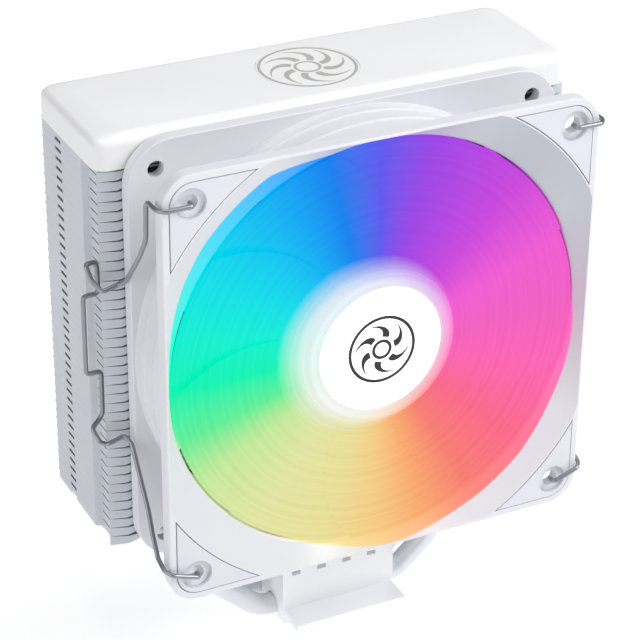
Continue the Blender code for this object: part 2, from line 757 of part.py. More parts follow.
def make_coils(parts, cutters):
    middle = (forward(STATOR_FRONT) + forward(STATOR_REAR)) / 2
    half_core = (forward(STATOR_FRONT) - forward(STATOR_REAR)) / 2
    half_window = ARM_WIDTH / 2 + GAP
    for number in range(POLES):
        name = f"stator_coil_{number + 1}"
        low = (COIL_START, -COIL_WIDTH / 2, middle - COIL_DEPTH / 2)
        high = (COIL_END, COIL_WIDTH / 2, middle + COIL_DEPTH / 2)
        turn = Matrix.Rotation(number * math.tau / POLES, 4, "Z")
        coil = add_object(name, box_mesh(name, low, high), "coil_copper", parts)
        coil.matrix_world = FAN_TURN @ turn
        low = (COIL_START - MM, -half_window, middle - half_core - GAP)
        high = (COIL_END + MM, half_window, middle + half_core + GAP)
        window = cutter("coil_window", box_mesh("coil_window", low, high), cutters)
        window.matrix_world = FAN_TURN @ turn
        combine(bevelled(coil, COIL_CHAMFER), window, "DIFFERENCE")


def make_stator(parts, cutters):
    core_bore = BOSS_OUTER + GAP
    core = extruded_mesh("stator_core", [stator_outline(), circle(core_bore, 16)],
                         forward(STATOR_REAR), forward(STATOR_FRONT))
    core.transform(FAN_TURN)
    add_object("stator_core", core, "stator_steel", parts)
    make_coils(parts, cutters)
    sleeve = ring_profile(SHAFT_RADIUS + GAP, BOSS_INNER - GAP,
                          forward(SHAFT_REAR) + MM, forward(BOSS_FRONT))
    fan_turned("bearing_sleeve", sleeve, "brass", parts, 16)
    board = ring_profile(BOSS_OUTER + GAP, BOARD_RADIUS, forward(BOARD_REAR), forward(BOARD_FRONT))
    fan_turned("circuit_board", board, "board", parts, 36)
    make_leds(parts)
    low = forward(STRUT_REAR) - GAP - LABEL_THICK
    label = disc_profile(LABEL_RADIUS, low, low + LABEL_THICK)
    fan_turned("motor_label", label, "label", parts, 32)


def make_leds(parts):
    half = LED_SIZE / 2
    low = forward(BOARD_FRONT) + GAP
    for number in range(LEDS):
        name = f"led_{number + 1}"
        mesh = box_mesh(name, (LED_RING - half, -half, low), (LED_RING + half, half, low + LED_THICK))
        led = add_object(name, mesh, "led", parts)
        led.matrix_world = FAN_TURN @ Matrix.Rotation(number * math.tau / LEDS, 4, "Z")


# ------------------------------------------------------------------ wire clips
def clip_route():
    """Right-hand clip from its lower hook to its upper one; z is from the fan's axis."""
    side = FAN_SIZE / 2 + WIRE_RADIUS + CLIP_CLEARANCE
    face = FAN_FRONT - PAD_PROUD - WIRE_RADIUS - 0.4 * MM
    hole = HOLE_SPACING / 2
    tip = FAN_FRONT + HOOK_REACH
    shoulder = FIN_WIDTH / 2 + WIRE_RADIUS + CLIP_CLEARANCE
    out = RAIL_X + HANDLE_REACH
    step = FAN_REAR - WIRE_RADIUS - 1.2 * MM
    bend = 0.6 * MM
    lower_arm = [(hole, tip, -hole), (hole, face, -hole), (side - 1.5 * MM, face, -50 * MM),
                 (side, face + 2 * MM, -49.4 * MM), (side, -40.5 * MM, -48 * MM),
                 (side, -37.5 * MM, -43 * MM), (side, -35 * MM, -37 * MM),
                 (side, -29.5 * MM, -29 * MM), (side, -25 * MM, -22.5 * MM),
                 (side + MM, step, -21.2 * MM), (shoulder, step, -22.7 * MM),
                 (shoulder + MM, -19.5 * MM, -23.5 * MM), (out - bend, -17 * MM, -20.5 * MM),
                 (RAIL_X + bend, RAIL_Y, -18.4 * MM)]
    rail = [(RAIL_X, RAIL_Y, -17 * MM), (RAIL_X, RAIL_Y, HANDLE_BOTTOM),
            (RAIL_X + bend, RAIL_Y, HANDLE_BOTTOM + bend),
            (out - bend, RAIL_Y, HANDLE_BOTTOM + bend),
            (out, RAIL_Y, HANDLE_BOTTOM + 2 * bend), (out, RAIL_Y, HANDLE_TOP - 2 * bend),
            (out - bend, RAIL_Y, HANDLE_TOP - bend), (RAIL_X + bend, RAIL_Y, HANDLE_TOP - bend),
            (RAIL_X, RAIL_Y, HANDLE_TOP), (RAIL_X, RAIL_Y, 25 * MM)]
    upper_arm = [(RAIL_X + bend, RAIL_Y, 26.4 * MM), (out - bend, -17 * MM, 26.6 * MM),
                 (shoulder + 1.4 * MM, -19 * MM, 23 * MM), (shoulder, step, 21.2 * MM),
                 (side + MM, step, 22.4 * MM), (side, -24.5 * MM, 24 * MM),
                 (side, -29 * MM, 29 * MM), (side, -34 * MM, 35 * MM),
                 (side, -37.8 * MM, 40.6 * MM), (side, -38.5 * MM, 42.4 * MM),
                 (side, -39 * MM, 51 * MM), (side, -40.2 * MM, 52.3 * MM),
                 (side, face + 2 * MM, 52.4 * MM), (side - 1.5 * MM, face, 52.4 * MM),
                 (hole, face, hole), (hole, tip, hole)]
    return lower_arm + rail + upper_arm


def make_wire_clips(parts):
    """Each clip is parented to an empty on its rail's axis, about which it swings."""
    for name, side in (("wire_clip_left", -1), ("wire_clip_right", 1)):
        pivot = bpy.data.objects.new(f"{name}_pivot", None)
        pivot.location = (side * RAIL_X, RAIL_Y, FAN_HEIGHT)
        parts.objects.link(pivot)
        route = [(side * (x - RAIL_X), y - RAIL_Y, z) for x, y, z in clip_route()]
        mesh = tube_mesh(name, route, WIRE_RADIUS)
        clip = add_object(name, mesh, "steel", parts)
        clip.parent = pivot


# ------------------------------------------------------------------ assembly
def smooth(objects):
    for obj in objects:
        if obj.type == "MESH":
            obj.data.shade_smooth()
            obj.data.set_sharp_from_angle(angle=math.radians(35))


def main():
    clear_scene()
    parts = new_collection("cpu_tower_cooler")
    cutters = new_collection("cutters")
    make_base_block(parts, cutters)
    make_heat_pipes(parts, cutters)
    make_fins(parts)
    make_top_cover(parts, cutters)
    make_fan_frame(parts, cutters)
    make_motor_mount(parts, cutters)
    make_pads(parts)
    make_impeller(parts, cutters)
    make_rotor_insides(parts)
    make_stator(parts, cutters)
    make_wire_clips(parts)
    smooth(parts.objects)


main()
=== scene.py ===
"""CPU tower cooler: the looks of every piece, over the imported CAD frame.

Metres, +Z up. The fan is on the -Y side and its axis lies along Y.
"""
import math

import bmesh
import bpy
from mathutils import Matrix, Vector


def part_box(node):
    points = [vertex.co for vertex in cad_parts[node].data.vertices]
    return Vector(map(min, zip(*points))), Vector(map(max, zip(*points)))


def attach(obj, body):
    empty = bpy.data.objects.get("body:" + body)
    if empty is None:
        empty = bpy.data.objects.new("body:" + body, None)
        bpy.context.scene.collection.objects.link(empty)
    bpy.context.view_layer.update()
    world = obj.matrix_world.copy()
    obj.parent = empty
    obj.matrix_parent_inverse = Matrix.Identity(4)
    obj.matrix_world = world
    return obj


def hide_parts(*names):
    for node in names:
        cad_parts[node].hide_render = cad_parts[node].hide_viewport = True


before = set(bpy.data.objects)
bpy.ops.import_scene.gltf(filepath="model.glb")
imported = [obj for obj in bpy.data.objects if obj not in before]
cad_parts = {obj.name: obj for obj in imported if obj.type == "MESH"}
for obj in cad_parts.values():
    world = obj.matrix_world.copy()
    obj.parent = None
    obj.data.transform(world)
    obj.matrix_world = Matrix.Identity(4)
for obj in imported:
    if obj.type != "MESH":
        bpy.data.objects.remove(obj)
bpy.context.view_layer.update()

MM = 0.001

# ------------------------------------------------------------------ places read from the frame
FAN_LOW, FAN_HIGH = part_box("fan_frame")
HALF_FAN = (FAN_HIGH.x - FAN_LOW.x) / 2
FAN_HEIGHT = (FAN_HIGH.z + FAN_LOW.z) / 2
FRONT = -FAN_LOW.y                  # heights along the fan's axis, towards the viewer
REAR = -FAN_HIGH.y
HUB_FRONT = -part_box("impeller")[0].y
COVER_LOW, COVER_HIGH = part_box("top_cover")
FIN_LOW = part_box("fin_pack_01")[0]
FIN_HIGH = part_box("fin_pack_10")[1]

# ------------------------------------------------------------------ sizes
# fan frame
FLANGE_THICK = 4 * MM
ROUND_FRONT = 8 * MM
ROUND_REAR = 12 * MM
BARREL_OUTER = 59.4 * MM
BARREL_INNER = 57.6 * MM
MOUTH_REACH = 59.3 * MM             # front opening: straight beside the rim ...
MOUTH_CORNER = 67.4 * MM            # ... and round in the corners
MOUTH_DEPTH = 3.95 * MM
MOUTH_COURSES = ((0.0, 0.0), (0.03, 0.03), (0.5, 0.46), (0.93, 0.86), (1.0, 1.0))     # roundness, depth
OUTLET_FLARE = ((57.6, 3.0), (57.75, 1.7), (58.05, 0.8), (58.45, 0.25), (58.8, 0.0))  # radius, depth
DUCT_SIDES = 144
FLANGE_SOFT = 0.4 * MM              # rounding of the flanges' edges
HOOP_RADIUS = 59.8 * MM             # hoops round the outside of the barrel
HOOP_WIDTH = 1.4 * MM
HOOPS = (29 * MM, 34.8 * MM)
HOLE_OFFSET = 52.5 * MM             # screw holes from the axis, along X and along Z
HOLE_RADIUS = 2.2 * MM
PAD_THICK = 1.1 * MM
PAD_PROUD = 0.2 * MM
PAD_INSET = 2.1 * MM                # pad edge to flange edge
PAD_ARC = 68 * MM                   # the pads' inner edge, from the axis
PAD_HOLE = 4 * MM
PAD_SEAM = 0.25 * MM
PAD_SOFT = 0.22 * MM
POCKET_PLAY = 0.02 * MM

# impeller
BLADES = 9
BLADE_TIP = 57.0 * MM
BLADE_THICK = 1.0 * MM
BLADE_SPAN = math.radians(66)
ROOT_SPAN = math.radians(10)        # added at the hub, none at the tip
BLADE_SWEEP = math.radians(16)
BLADE_FRONT = 42.0 * MM
BLADE_REAR = 27.4 * MM
BLADE_CURL = 4.5                    # flat where the air enters, steep where it leaves
ROOT_CURL = 1.2                     # added at the hub
HUB_RADIUS = 21.5 * MM
HUB_INNER = 20 * MM
HUB_REAR = 27 * MM
HUB_WALL = 1.4 * MM
CAP_RADIUS = 17.2 * MM
CAP_THICK = 1 * MM
CAP_SOFT = 0.25 * MM
HUB_MARK = (9.5 * MM, 2.8 * MM, 0.85 * MM)      # reach, hub ring, width of line
HUB_MARK_ARMS = 6

# fins
FINS = 40
FIN_PITCH = 2.7 * MM
FIN_THICK = 0.4 * MM
FOLD_THICK = 0.3 * MM
FIN_BOTTOM = 40.3 * MM
GROOVE_FRONT = -17.6 * MM
GROOVE_REAR = -8.6 * MM
GROOVE_DEPTH = 1.4 * MM
FIN_CORNER = 4.5 * MM               # the front corners slant back over this width
SLOT_FRONT = 6 * MM                 # row of small slots in the folded sides
SLOT_REAR = 10 * MM
SLOT_HEIGHT = 0.95 * MM
FOLD_SEAM = 0.02 * MM               # openings between a fold and the fin below
GROOVE_SEAM = 0.4 * MM
FRONT_FOLD_END = 58 * MM            # the front fold narrows to this distance from the middle
FRONT_FOLD_GAP = 1.1 * MM           # opening at that end
FIN_NICK = 0.5 * MM                 # cut-off rear corners
COLLAR_INNER = 0.35 * MM            # collars round the pipes, beyond the pipe's radius
COLLAR_OUTER = 0.6 * MM
COLLAR_HEIGHT = 0.62                # as a share of the pitch
COLLAR_SIDES = 14

# heat pipes
PIPE_RADIUS = 3 * MM
PIPE_HEIGHT = 2.8 * MM
PIPE_FLAT = 0.05 * MM               # the underside is milled off at this height
PIPE_BEND = 10 * MM
PIPE_SLANT = math.radians(42)
PIPE_EXIT = 17.3 * MM
PIPE_TOP = 148.5 * MM
PIPE_LEGS = ((-15, -45, 33), (-5, -33, 45), (5, -45, 33), (15, -33, 45))    # y, left x, right x, mm

# cover
COVER_ROUND = 2.2 * MM
COVER_CORNER = 4 * MM
COVER_SLOPE = 6.6 * MM              # the top falls gently towards each end over this length
COVER_DROP = 0.55 * MM
COVER_WALL = 1.6 * MM
COVER_CHAMFER = 0.3 * MM
COVER_TURN = math.radians(78)       # how far the rounded edge turns before the slope begins
COVER_STEPS = 7
RECESS_RADIUS = 13.5 * MM
RECESS_DEPTH = 0.7 * MM
EMBLEM_SEAM = 0.06 * MM
EMBLEM_SOFT = 0.08 * MM
EMBLEM = (12.9 * MM, 3.6 * MM, 0.75 * MM)       # reach, hub ring, width of line
EMBLEM_ARMS = 8
VANE_SWEEP = math.radians(58)
MARK_SUNK = 0.02 * MM               # the printed marks, below and above their surface
MARK_PROUD = 0.05 * MM

# wire clips
WIRE_RADIUS = 0.62 * MM
WIRE_BEND = 0.9 * MM
SHORTEST_STEP = 0.02 * MM           # along an eased route
RAIL_X = 65.4 * MM
RAIL_Y = -16 * MM

# camera
AZIMUTH = math.radians(-26.572)
ELEVATION = math.radians(28.795)
ROLL = math.radians(0.64)
DISTANCE = 591.3 * MM
LOOK_AT = Vector((-18.375, -45.5, 108.011)) * MM
LENS = 134.53
SENSOR = 36.0

# stage and lights, in metres and watts
FLOOR_REACH = 6.0
FLOOR_GLOW = 0.74
WORLD_STRENGTH = 0.2
LIGHT_SIZE = 0.9
LIGHT_TARGET = Vector((0.0, 0.0, 0.09))
LIGHTS = (
    ("overhead", (0.1, 0.1, 1.1), 4.9),
    ("front_right", (0.9, -0.75, 0.95), 16.0),
    ("left_fill", (-1.1, -0.5, 0.5), 5.0),
)

LATHE_SIDES = 96
FAN_TURN = Matrix.Translation((0.0, 0.0, FAN_HEIGHT)) @ Matrix.Rotation(math.pi / 2, 4, "X")
SIDES = (-1, 1)

# surfaces
CLOUD_SCALE = 45.0
NOISE_LOW, NOISE_HIGH = 0.3, 0.7    # the part of a noise's range that is spread out
ROUGHNESS_SWING = 0.05
BUMP_DEPTH = 0.1 * MM
RING_SCALE = 700.0                  # faint rings in the lit plastic
RING_DIM = 0.93
CAP_DIM_FROM = 0.86                 # share of the cap's radius where its light begins to fall off
CAP_GLOW = 0.85
BLADE_GLOW = 0.97
HUB_GLOW = 0.68
BLACK = (0.0, 0.0, 0.0, 1.0)
WHITE = (1.0, 1.0, 1.0, 1.0)

# the hub's white light: a line a little beside the axis, and how it fades outwards
WHITE_CENTRE = (-3.5 * MM, 1 * MM)
WHITE_REACH = 25.2 * MM
WHITE_FADE = 7 * MM

# light colour round the fan's axis: angle in degrees from +X towards +Z, screen colour
LIGHT_HUES = (
    (-180, (2, 247, 180)), (-165, (98, 241, 154)), (-150, (201, 236, 158)), (-130, (228, 232, 165)),
    (-105, (236, 225, 154)), (-90, (248, 207, 135)), (-75, (253, 170, 111)), (-60, (250, 126, 115)),
    (-42, (253, 106, 138)), (-20, (254, 101, 180)), (0, (245, 97, 197)), (20, (244, 93, 213)),
    (45, (204, 70, 224)), (75, (158, 69, 233)), (90, (96, 90, 241)), (105, (5, 129, 242)),
    (120, (0, 172, 248)), (135, (0, 205, 244)), (150, (0, 228, 234)), (165, (2, 243, 211)),
    (180, (2, 247, 180)),
)
# painted shade on the funnel mouth's plastic round the axis: darker at the upper right, which faces away
# from the key light, and lighter low down
MOUTH_SHADE = (
    (-180, (200, 204, 210)), (-100, (221, 221, 224)), (-30, (215, 212, 219)), (50, (180, 185, 193)),
    (115, (213, 213, 216)), (180, (200, 204, 210)),
)
# how far from the axis the blades' light falls on the mouth, in mm
LIGHT_REACH = (
    (-180, 58.0), (-120, 57.6), (-90, 59.3), (-60, 61.3), (-45, 61.2), (0, 57.8), (60, 55.0),
    (100, 57.0), (120, 63.2), (140, 63.2), (165, 60.2), (180, 58.0),
)
REACH_SCALE = 100.0                 # brings those distances into a colour's range, 0 to 1
LIGHT_EDGE = 0.4 * MM


# ------------------------------------------------------------------ materials
def linear(colour):
    """Screen colour, 0 to 255, to linear light."""
    return tuple(((c / 255 + 0.055) / 1.055) ** 2.4 if c > 10 else c / 3295 for c in colour)


def new_material(name):
    material = bpy.data.materials.new(name)
    material.use_nodes = True
    return material, material.node_tree.nodes, material.node_tree.links


def noise_node(nodes, links, coords, scale, detail, stretch=(1.0, 1.0, 1.0)):
    mapping = nodes.new("ShaderNodeMapping")
    mapping.inputs["Scale"].default_value = stretch
    noise = nodes.new("ShaderNodeTexNoise")
    noise.inputs["Scale"].default_value = scale
    noise.inputs["Detail"].default_value = detail
    links.new(coords.outputs["Object"], mapping.inputs["Vector"])
    links.new(mapping.outputs["Vector"], noise.inputs["Vector"])
    return noise.outputs["Fac"]


def set_roughness(nodes, links, noise, middle):
    """The shader's roughness, swinging about its middle with a noise."""
    node = nodes.new("ShaderNodeMapRange")
    node.inputs["From Min"].default_value = NOISE_LOW
    node.inputs["From Max"].default_value = NOISE_HIGH
    node.inputs["To Min"].default_value = middle - ROUGHNESS_SWING
    node.inputs["To Max"].default_value = middle + ROUGHNESS_SWING
    links.new(noise, node.inputs["Value"])
    links.new(node.outputs["Result"], nodes["Principled BSDF"].inputs["Roughness"])


def two_tone(nodes, links, value, dark, light):
    """A noise turned into a fade between two linear colours."""
    ramp = nodes.new("ShaderNodeValToRGB")
    ramp.color_ramp.elements[0].position = NOISE_LOW
    ramp.color_ramp.elements[1].position = NOISE_HIGH
    ramp.color_ramp.elements[0].color = (*dark, 1.0)
    ramp.color_ramp.elements[1].color = (*light, 1.0)
    links.new(value, ramp.inputs["Fac"])
    return ramp.outputs["Color"]


def surface(name, colour, roughness, metallic=0.0, grain=1600.0, relief=0.05, tone=0.03,
            stretch=(1.0, 1.0, 1.0), coat=0.0):
    """A solid surface: fine grain in relief and roughness, faint cloudiness in colour."""
    material, nodes, links = new_material(name)
    shader = nodes["Principled BSDF"]
    shader.inputs["Metallic"].default_value = metallic
    shader.inputs["Coat Weight"].default_value = coat
    coords = nodes.new("ShaderNodeTexCoord")
    base = linear(colour)
    cloud = noise_node(nodes, links, coords, CLOUD_SCALE, 4.0)
    dark = tuple(c * (1 - tone) for c in base)
    light = tuple(min(1.0, c * (1 + tone)) for c in base)
    links.new(two_tone(nodes, links, cloud, dark, light), shader.inputs["Base Color"])
    fine = noise_node(nodes, links, coords, grain, 2.0, stretch)
    set_roughness(nodes, links, fine, roughness)
    bump = nodes.new("ShaderNodeBump")
    bump.inputs["Strength"].default_value = relief
    bump.inputs["Distance"].default_value = BUMP_DEPTH
    links.new(fine, bump.inputs["Height"])
    links.new(bump.outputs["Normal"], shader.inputs["Normal"])
    return material


def fan_place(nodes, links):
    """Place in the fan: its axis along Z. It stands still while the blades turn, as the lights do."""
    mapping = nodes.new("ShaderNodeMapping")
    mapping.inputs["Rotation"].default_value = (-math.pi / 2, 0.0, 0.0)
    mapping.inputs["Location"].default_value = (0.0, -FAN_HEIGHT, 0.0)
    links.new(nodes.new("ShaderNodeNewGeometry").outputs["Position"], mapping.inputs["Vector"])
    return mapping.outputs["Vector"]


def ramp_round_axis(nodes, links, place, values):
    """Colour by angle about the fan's axis, from pairs of degrees and linear colour."""
    gradient = nodes.new("ShaderNodeTexGradient")
    gradient.gradient_type = "RADIAL"
    links.new(place, gradient.inputs["Vector"])
    ramp = nodes.new("ShaderNodeValToRGB")
    stops = ramp.color_ramp.elements
    for angle, colour in values[1:-1]:
        stops.new(angle / 360 + 0.5).color = (*colour, 1.0)
    stops[0].color = (*values[0][1], 1.0)
    stops[-1].color = (*values[-1][1], 1.0)
    links.new(gradient.outputs["Fac"], ramp.inputs["Fac"])
    return ramp.outputs["Color"]


def hue_round_axis(nodes, links, place):
    """The light's colour by angle about the fan's axis."""
    hues = [(angle, linear(colour)) for angle, colour in LIGHT_HUES]
    return ramp_round_axis(nodes, links, place, hues)


def feed(links, socket, value):
    """Link another node's output to a socket, or set it to a plain value."""
    if isinstance(value, bpy.types.NodeSocket):
        links.new(value, socket)
    else:
        socket.default_value = value


def mixed(nodes, links, kind, factor, first, second):
    """Two colours mixed or multiplied."""
    mix = nodes.new("ShaderNodeMix")
    mix.data_type = "RGBA"
    mix.blend_type = kind
    mix.clamp_factor = True
    for name, value in (("Factor", factor), ("A", first), ("B", second)):
        feed(links, mix.inputs[name], value)
    return mix.outputs["Result"]


def radius_from_axis(nodes, links, place, centre=(0.0, 0.0)):
    """Distance from the fan's axis, or from a line beside it."""
    flat = nodes.new("ShaderNodeVectorMath")
    flat.operation = "MULTIPLY_ADD"
    flat.inputs[1].default_value = (1.0, 1.0, 0.0)
    flat.inputs[2].default_value = (-centre[0], -centre[1], 0.0)
    length = nodes.new("ShaderNodeVectorMath")
    length.operation = "LENGTH"
    links.new(place, flat.inputs[0])
    links.new(flat.outputs["Vector"], length.inputs[0])
    return length.outputs["Value"]


def calculated(nodes, links, operation, first, second, clamp=False):
    """One sum on two values."""
    node = nodes.new("ShaderNodeMath")
    node.operation = operation
    node.use_clamp = clamp
    feed(links, node.inputs[0], first)
    feed(links, node.inputs[1], second)
    return node.outputs["Value"]


def within(nodes, links, reach, distance, edge):
    """1 well within the reach and 0 beyond it, with a fade over the edge's width."""
    inside = calculated(nodes, links, "SUBTRACT", reach, distance)
    return calculated(nodes, links, "DIVIDE", inside, edge, clamp=True)


def lit_plastic(name, pale, glow, depth, roughness):
    """Translucent plastic lit from the hub; pale is how far its colour goes to white in the middle."""
    material, nodes, links = new_material(name)
    shader = nodes["Principled BSDF"]
    coords = nodes.new("ShaderNodeTexCoord")
    place = fan_place(nodes, links)
    hue = hue_round_axis(nodes, links, place)
    rings = nodes.new("ShaderNodeTexNoise")
    rings.noise_dimensions = "1D"
    rings.inputs["Scale"].default_value = RING_SCALE
    rings.inputs["Detail"].default_value = 3.0
    links.new(radius_from_axis(nodes, links, place), rings.inputs["W"])
    streaks = two_tone(nodes, links, rings.outputs["Fac"], (RING_DIM,) * 3, (1.0,) * 3)
    distance = radius_from_axis(nodes, links, place, WHITE_CENTRE)
    whiteness = within(nodes, links, WHITE_REACH, distance, WHITE_FADE)
    whiteness = calculated(nodes, links, "MULTIPLY", whiteness, pale)
    tinted = mixed(nodes, links, "MIX", whiteness, hue, (0.92, 0.93, 0.95, 1.0))
    light = mixed(nodes, links, "MULTIPLY", 1.0, tinted, streaks)
    body = mixed(nodes, links, "MULTIPLY", 1.0, tinted, (depth, depth, depth, 1.0))
    links.new(body, shader.inputs["Base Color"])
    links.new(light, shader.inputs["Emission Color"])
    shader.inputs["Emission Strength"].default_value = glow
    shader.inputs["Specular IOR Level"].default_value = 0.1
    set_roughness(nodes, links, noise_node(nodes, links, coords, 900.0, 2.0), roughness)
    return material


def mouth_plastic(name):
    """White plastic in the mouth with painted shade round the axis, and a painted glow of the blades'
    light on it up to a distance that varies.
    """
    material = surface(name, (255, 255, 255), 0.4, grain=1500.0, relief=0.05, tone=0.012)
    nodes, links = material.node_tree.nodes, material.node_tree.links
    shader = nodes["Principled BSDF"]
    place = fan_place(nodes, links)
    cloud = shader.inputs["Base Color"].links[0].from_socket
    # painted shade round the mouth: darker at the upper right, lighter low down
    shade_tones = [(angle, linear(colour)) for angle, colour in MOUTH_SHADE]
    shaded_plastic = mixed(nodes, links, "MULTIPLY", 1.0, ramp_round_axis(nodes, links, place, shade_tones), cloud)
    reaches = [(angle, (reach / REACH_SCALE,) * 3) for angle, reach in LIGHT_REACH]
    reach = ramp_round_axis(nodes, links, place, reaches)
    reach = calculated(nodes, links, "MULTIPLY", reach, REACH_SCALE * MM)
    lit = within(nodes, links, reach, radius_from_axis(nodes, links, place), LIGHT_EDGE)
    base = mixed(nodes, links, "MIX", lit, shaded_plastic, (0.02, 0.02, 0.02, 1.0))
    links.new(base, shader.inputs["Base Color"])
    glow = mixed(nodes, links, "MIX", lit, BLACK, hue_round_axis(nodes, links, place))
    links.new(glow, shader.inputs["Emission Color"])
    shader.inputs["Emission Strength"].default_value = BLADE_GLOW
    return material


def lit_cap(name):
    """White diffuser, evenly lit, a touch dimmer towards its rim."""
    material, nodes, links = new_material(name)
    shader = nodes["Principled BSDF"]
    coords = nodes.new("ShaderNodeTexCoord")
    radius = radius_from_axis(nodes, links, fan_place(nodes, links))
    fade = nodes.new("ShaderNodeMapRange")
    fade.inputs["From Min"].default_value = CAP_RADIUS * CAP_DIM_FROM
    fade.inputs["From Max"].default_value = CAP_RADIUS
    links.new(radius, fade.inputs["Value"])
    light = mixed(nodes, links, "MIX", fade.outputs["Result"], WHITE, (0.86, 0.86, 0.88, 1.0))
    links.new(light, shader.inputs["Emission Color"])
    shader.inputs["Emission Strength"].default_value = CAP_GLOW
    fine = noise_node(nodes, links, coords, 1500.0, 2.0)
    links.new(two_tone(nodes, links, fine, (0.84,) * 3, (0.88,) * 3), shader.inputs["Base Color"])
    set_roughness(nodes, links, fine, 0.35)
    return material


def make_materials():
    return {
        "cover": surface("white_cover_satin", (234, 234, 235), 0.42, grain=2400.0, relief=0.06,
                         tone=0.01),
        "frame": surface("white_frame_plastic", (221, 221, 227), 0.45, grain=1500.0, relief=0.08,
                         tone=0.012),
        "mouth": mouth_plastic("mouth_plastic"),
        "pads": surface("pad_rubber", (216, 217, 225), 0.7, grain=1100.0, relief=0.12, tone=0.02),
        "fins": surface("painted_fin", (192, 197, 204), 0.42, metallic=0.1, grain=1300.0, relief=0.06,
                        tone=0.025),
        "pipes": surface("plated_pipe", (228, 230, 235), 0.34, metallic=0.2, grain=1800.0, relief=0.02,
                         tone=0.03, stretch=(1.0, 1.0, 0.3)),
        "base": surface("milled_base", (246, 247, 249), 0.4, metallic=0.05, grain=1400.0, relief=0.1,
                        tone=0.03, stretch=(0.06, 1.0, 1.0)),
        "blades": lit_plastic("lit_blades", 0.7, BLADE_GLOW, 0.02, 0.5),
        "hub": lit_plastic("lit_hub", 0.85, HUB_GLOW, 0.3, 0.3),
        "cap": lit_cap("lit_cap"),
        "ink": surface("dark_ink", (24, 24, 27), 0.5, grain=1800.0, relief=0.03, tone=0.08),
        "warm_ink": surface("warm_grey_ink", (184, 181, 176), 0.45, metallic=0.1, grain=1800.0,
                            relief=0.03, tone=0.05),
        "wire": surface("spring_wire", (146, 148, 154), 0.35, metallic=0.8, grain=1200.0, relief=0.06,
                        tone=0.06, stretch=(1.0, 1.0, 0.2)),
        "steel": surface("turned_steel", (170, 172, 178), 0.32, metallic=1.0, grain=900.0, relief=0.08),
        "magnet": surface("sintered_magnet", (58, 58, 62), 0.6, metallic=0.3, grain=2200.0, relief=0.2,
                          tone=0.15),
        "stator": surface("stator_sheet_steel", (140, 144, 150), 0.42, metallic=0.9, grain=1200.0,
                          relief=0.15, stretch=(1.0, 1.0, 8.0)),
        "coils": surface("coil_copper", (196, 118, 72), 0.34, metallic=0.9, grain=1500.0, relief=0.35,
                         tone=0.12, stretch=(1.0, 6.0, 1.0)),
        "brass": surface("sintered_brass", (208, 170, 100), 0.4, metallic=0.9, grain=2000.0,
                         relief=0.12),
        "board": surface("circuit_board", (40, 104, 72), 0.45, grain=700.0, relief=0.1, tone=0.15),
        "leds": surface("led_lens", (246, 246, 232), 0.25, grain=1500.0, relief=0.03, coat=0.4),
        "label": surface("blank_label", (226, 226, 229), 0.55, grain=900.0, relief=0.04, tone=0.03),
    }


# ------------------------------------------------------------------ outlines
def arc(radius, start, end, steps, centre=(0.0, 0.0)):
    """Points from one angle to another, both included."""
    angles = [start + (end - start) * i / steps for i in range(steps + 1)]
    return [(centre[0] + radius * math.cos(a), centre[1] + radius * math.sin(a)) for a in angles]


def circle(radius, sides, centre=(0.0, 0.0)):
    return arc(radius, 0.0, math.tau * (1 - 1 / sides), sides - 1, centre)


def rounded_rectangle(half_x, half_y, radius, steps=8):
    """Anticlockwise from the right-hand side's upper end."""
    points = []
    for quarter, (sx, sy) in enumerate(((1, 1), (-1, 1), (-1, -1), (1, -1))):
        start = quarter * math.pi / 2
        centre = (sx * (half_x - radius), sy * (half_y - radius))
        points += arc(radius, start, start + math.pi / 2, steps, centre)
    return points


def turned(points, quarter):
    """2D points turned by quarters of a turn."""
    turn = Matrix.Rotation(quarter * math.pi / 2, 2)
    return [tuple(turn @ Vector(point)) for point in points]


# ------------------------------------------------------------------ mesh helpers
def ring(bm, points, z):
    return [bm.verts.new((x, y, z)) for x, y in points]


def bridge(bm, low, high):
    """Quads between two rings of equal length; returns the second."""
    count = len(low)
    for i in range(count):
        j = (i + 1) % count
        bm.faces.new((low[i], low[j], high[j], high[i]))
    return high


def fill(bm, *rings):
    """Close a flat area: the first ring is its edge and the others are its holes."""
    edges = []
    for verts in rings:
        for i, vert in enumerate(verts):
            pair = (vert, verts[(i + 1) % len(verts)])
            edges.append(bm.edges.get(pair) or bm.edges.new(pair))
    bmesh.ops.triangle_fill(bm, use_beauty=True, edges=edges)


def lathe(bm, profile):
    """Turn a closed (radius, height) profile about Z; points on the axis become one vertex."""
    sides = LATHE_SIDES
    rings = []
    for radius, height in profile:
        if radius < 1e-7:
            rings.append([bm.verts.new((0.0, 0.0, height))])
        else:
            rings.append(ring(bm, circle(radius, sides), height))
    for first, second in zip(rings, rings[1:] + rings[:1]):
        if len(first) == len(second) == 1:
            continue
        if len(first) == 1 or len(second) == 1:
            point, edge = (first[0], second) if len(first) == 1 else (second[0], first)
            for i, vert in enumerate(edge):
                bm.faces.new((point, vert, edge[(i + 1) % sides]))
        else:
            bridge(bm, first, second)


def plate(bm, outlines, low, high):
    """A flat plate with holes."""
    bottoms = [ring(bm, outline, low) for outline in outlines]
    tops = [ring(bm, outline, high) for outline in outlines]
    for bottom, top in zip(bottoms, tops):
        bridge(bm, bottom, top)
    fill(bm, *bottoms)
    fill(bm, *tops)


def add_dome(bm, rim, end, out, radius):
    """Close a bar's last ring with a half ball; out is the bar's direction there."""
    spokes = [vert.co - end for vert in rim]
    for level in (0.45, 0.8):
        shrink = math.sqrt(1 - level ** 2)
        rise = out * radius * level
        rim = bridge(bm, rim, [bm.verts.new(end + spoke * shrink + rise) for spoke in spokes])
    tip = bm.verts.new(end + out * radius)
    for i, vert in enumerate(rim):
        bm.faces.new((vert, rim[(i + 1) % len(rim)], tip))


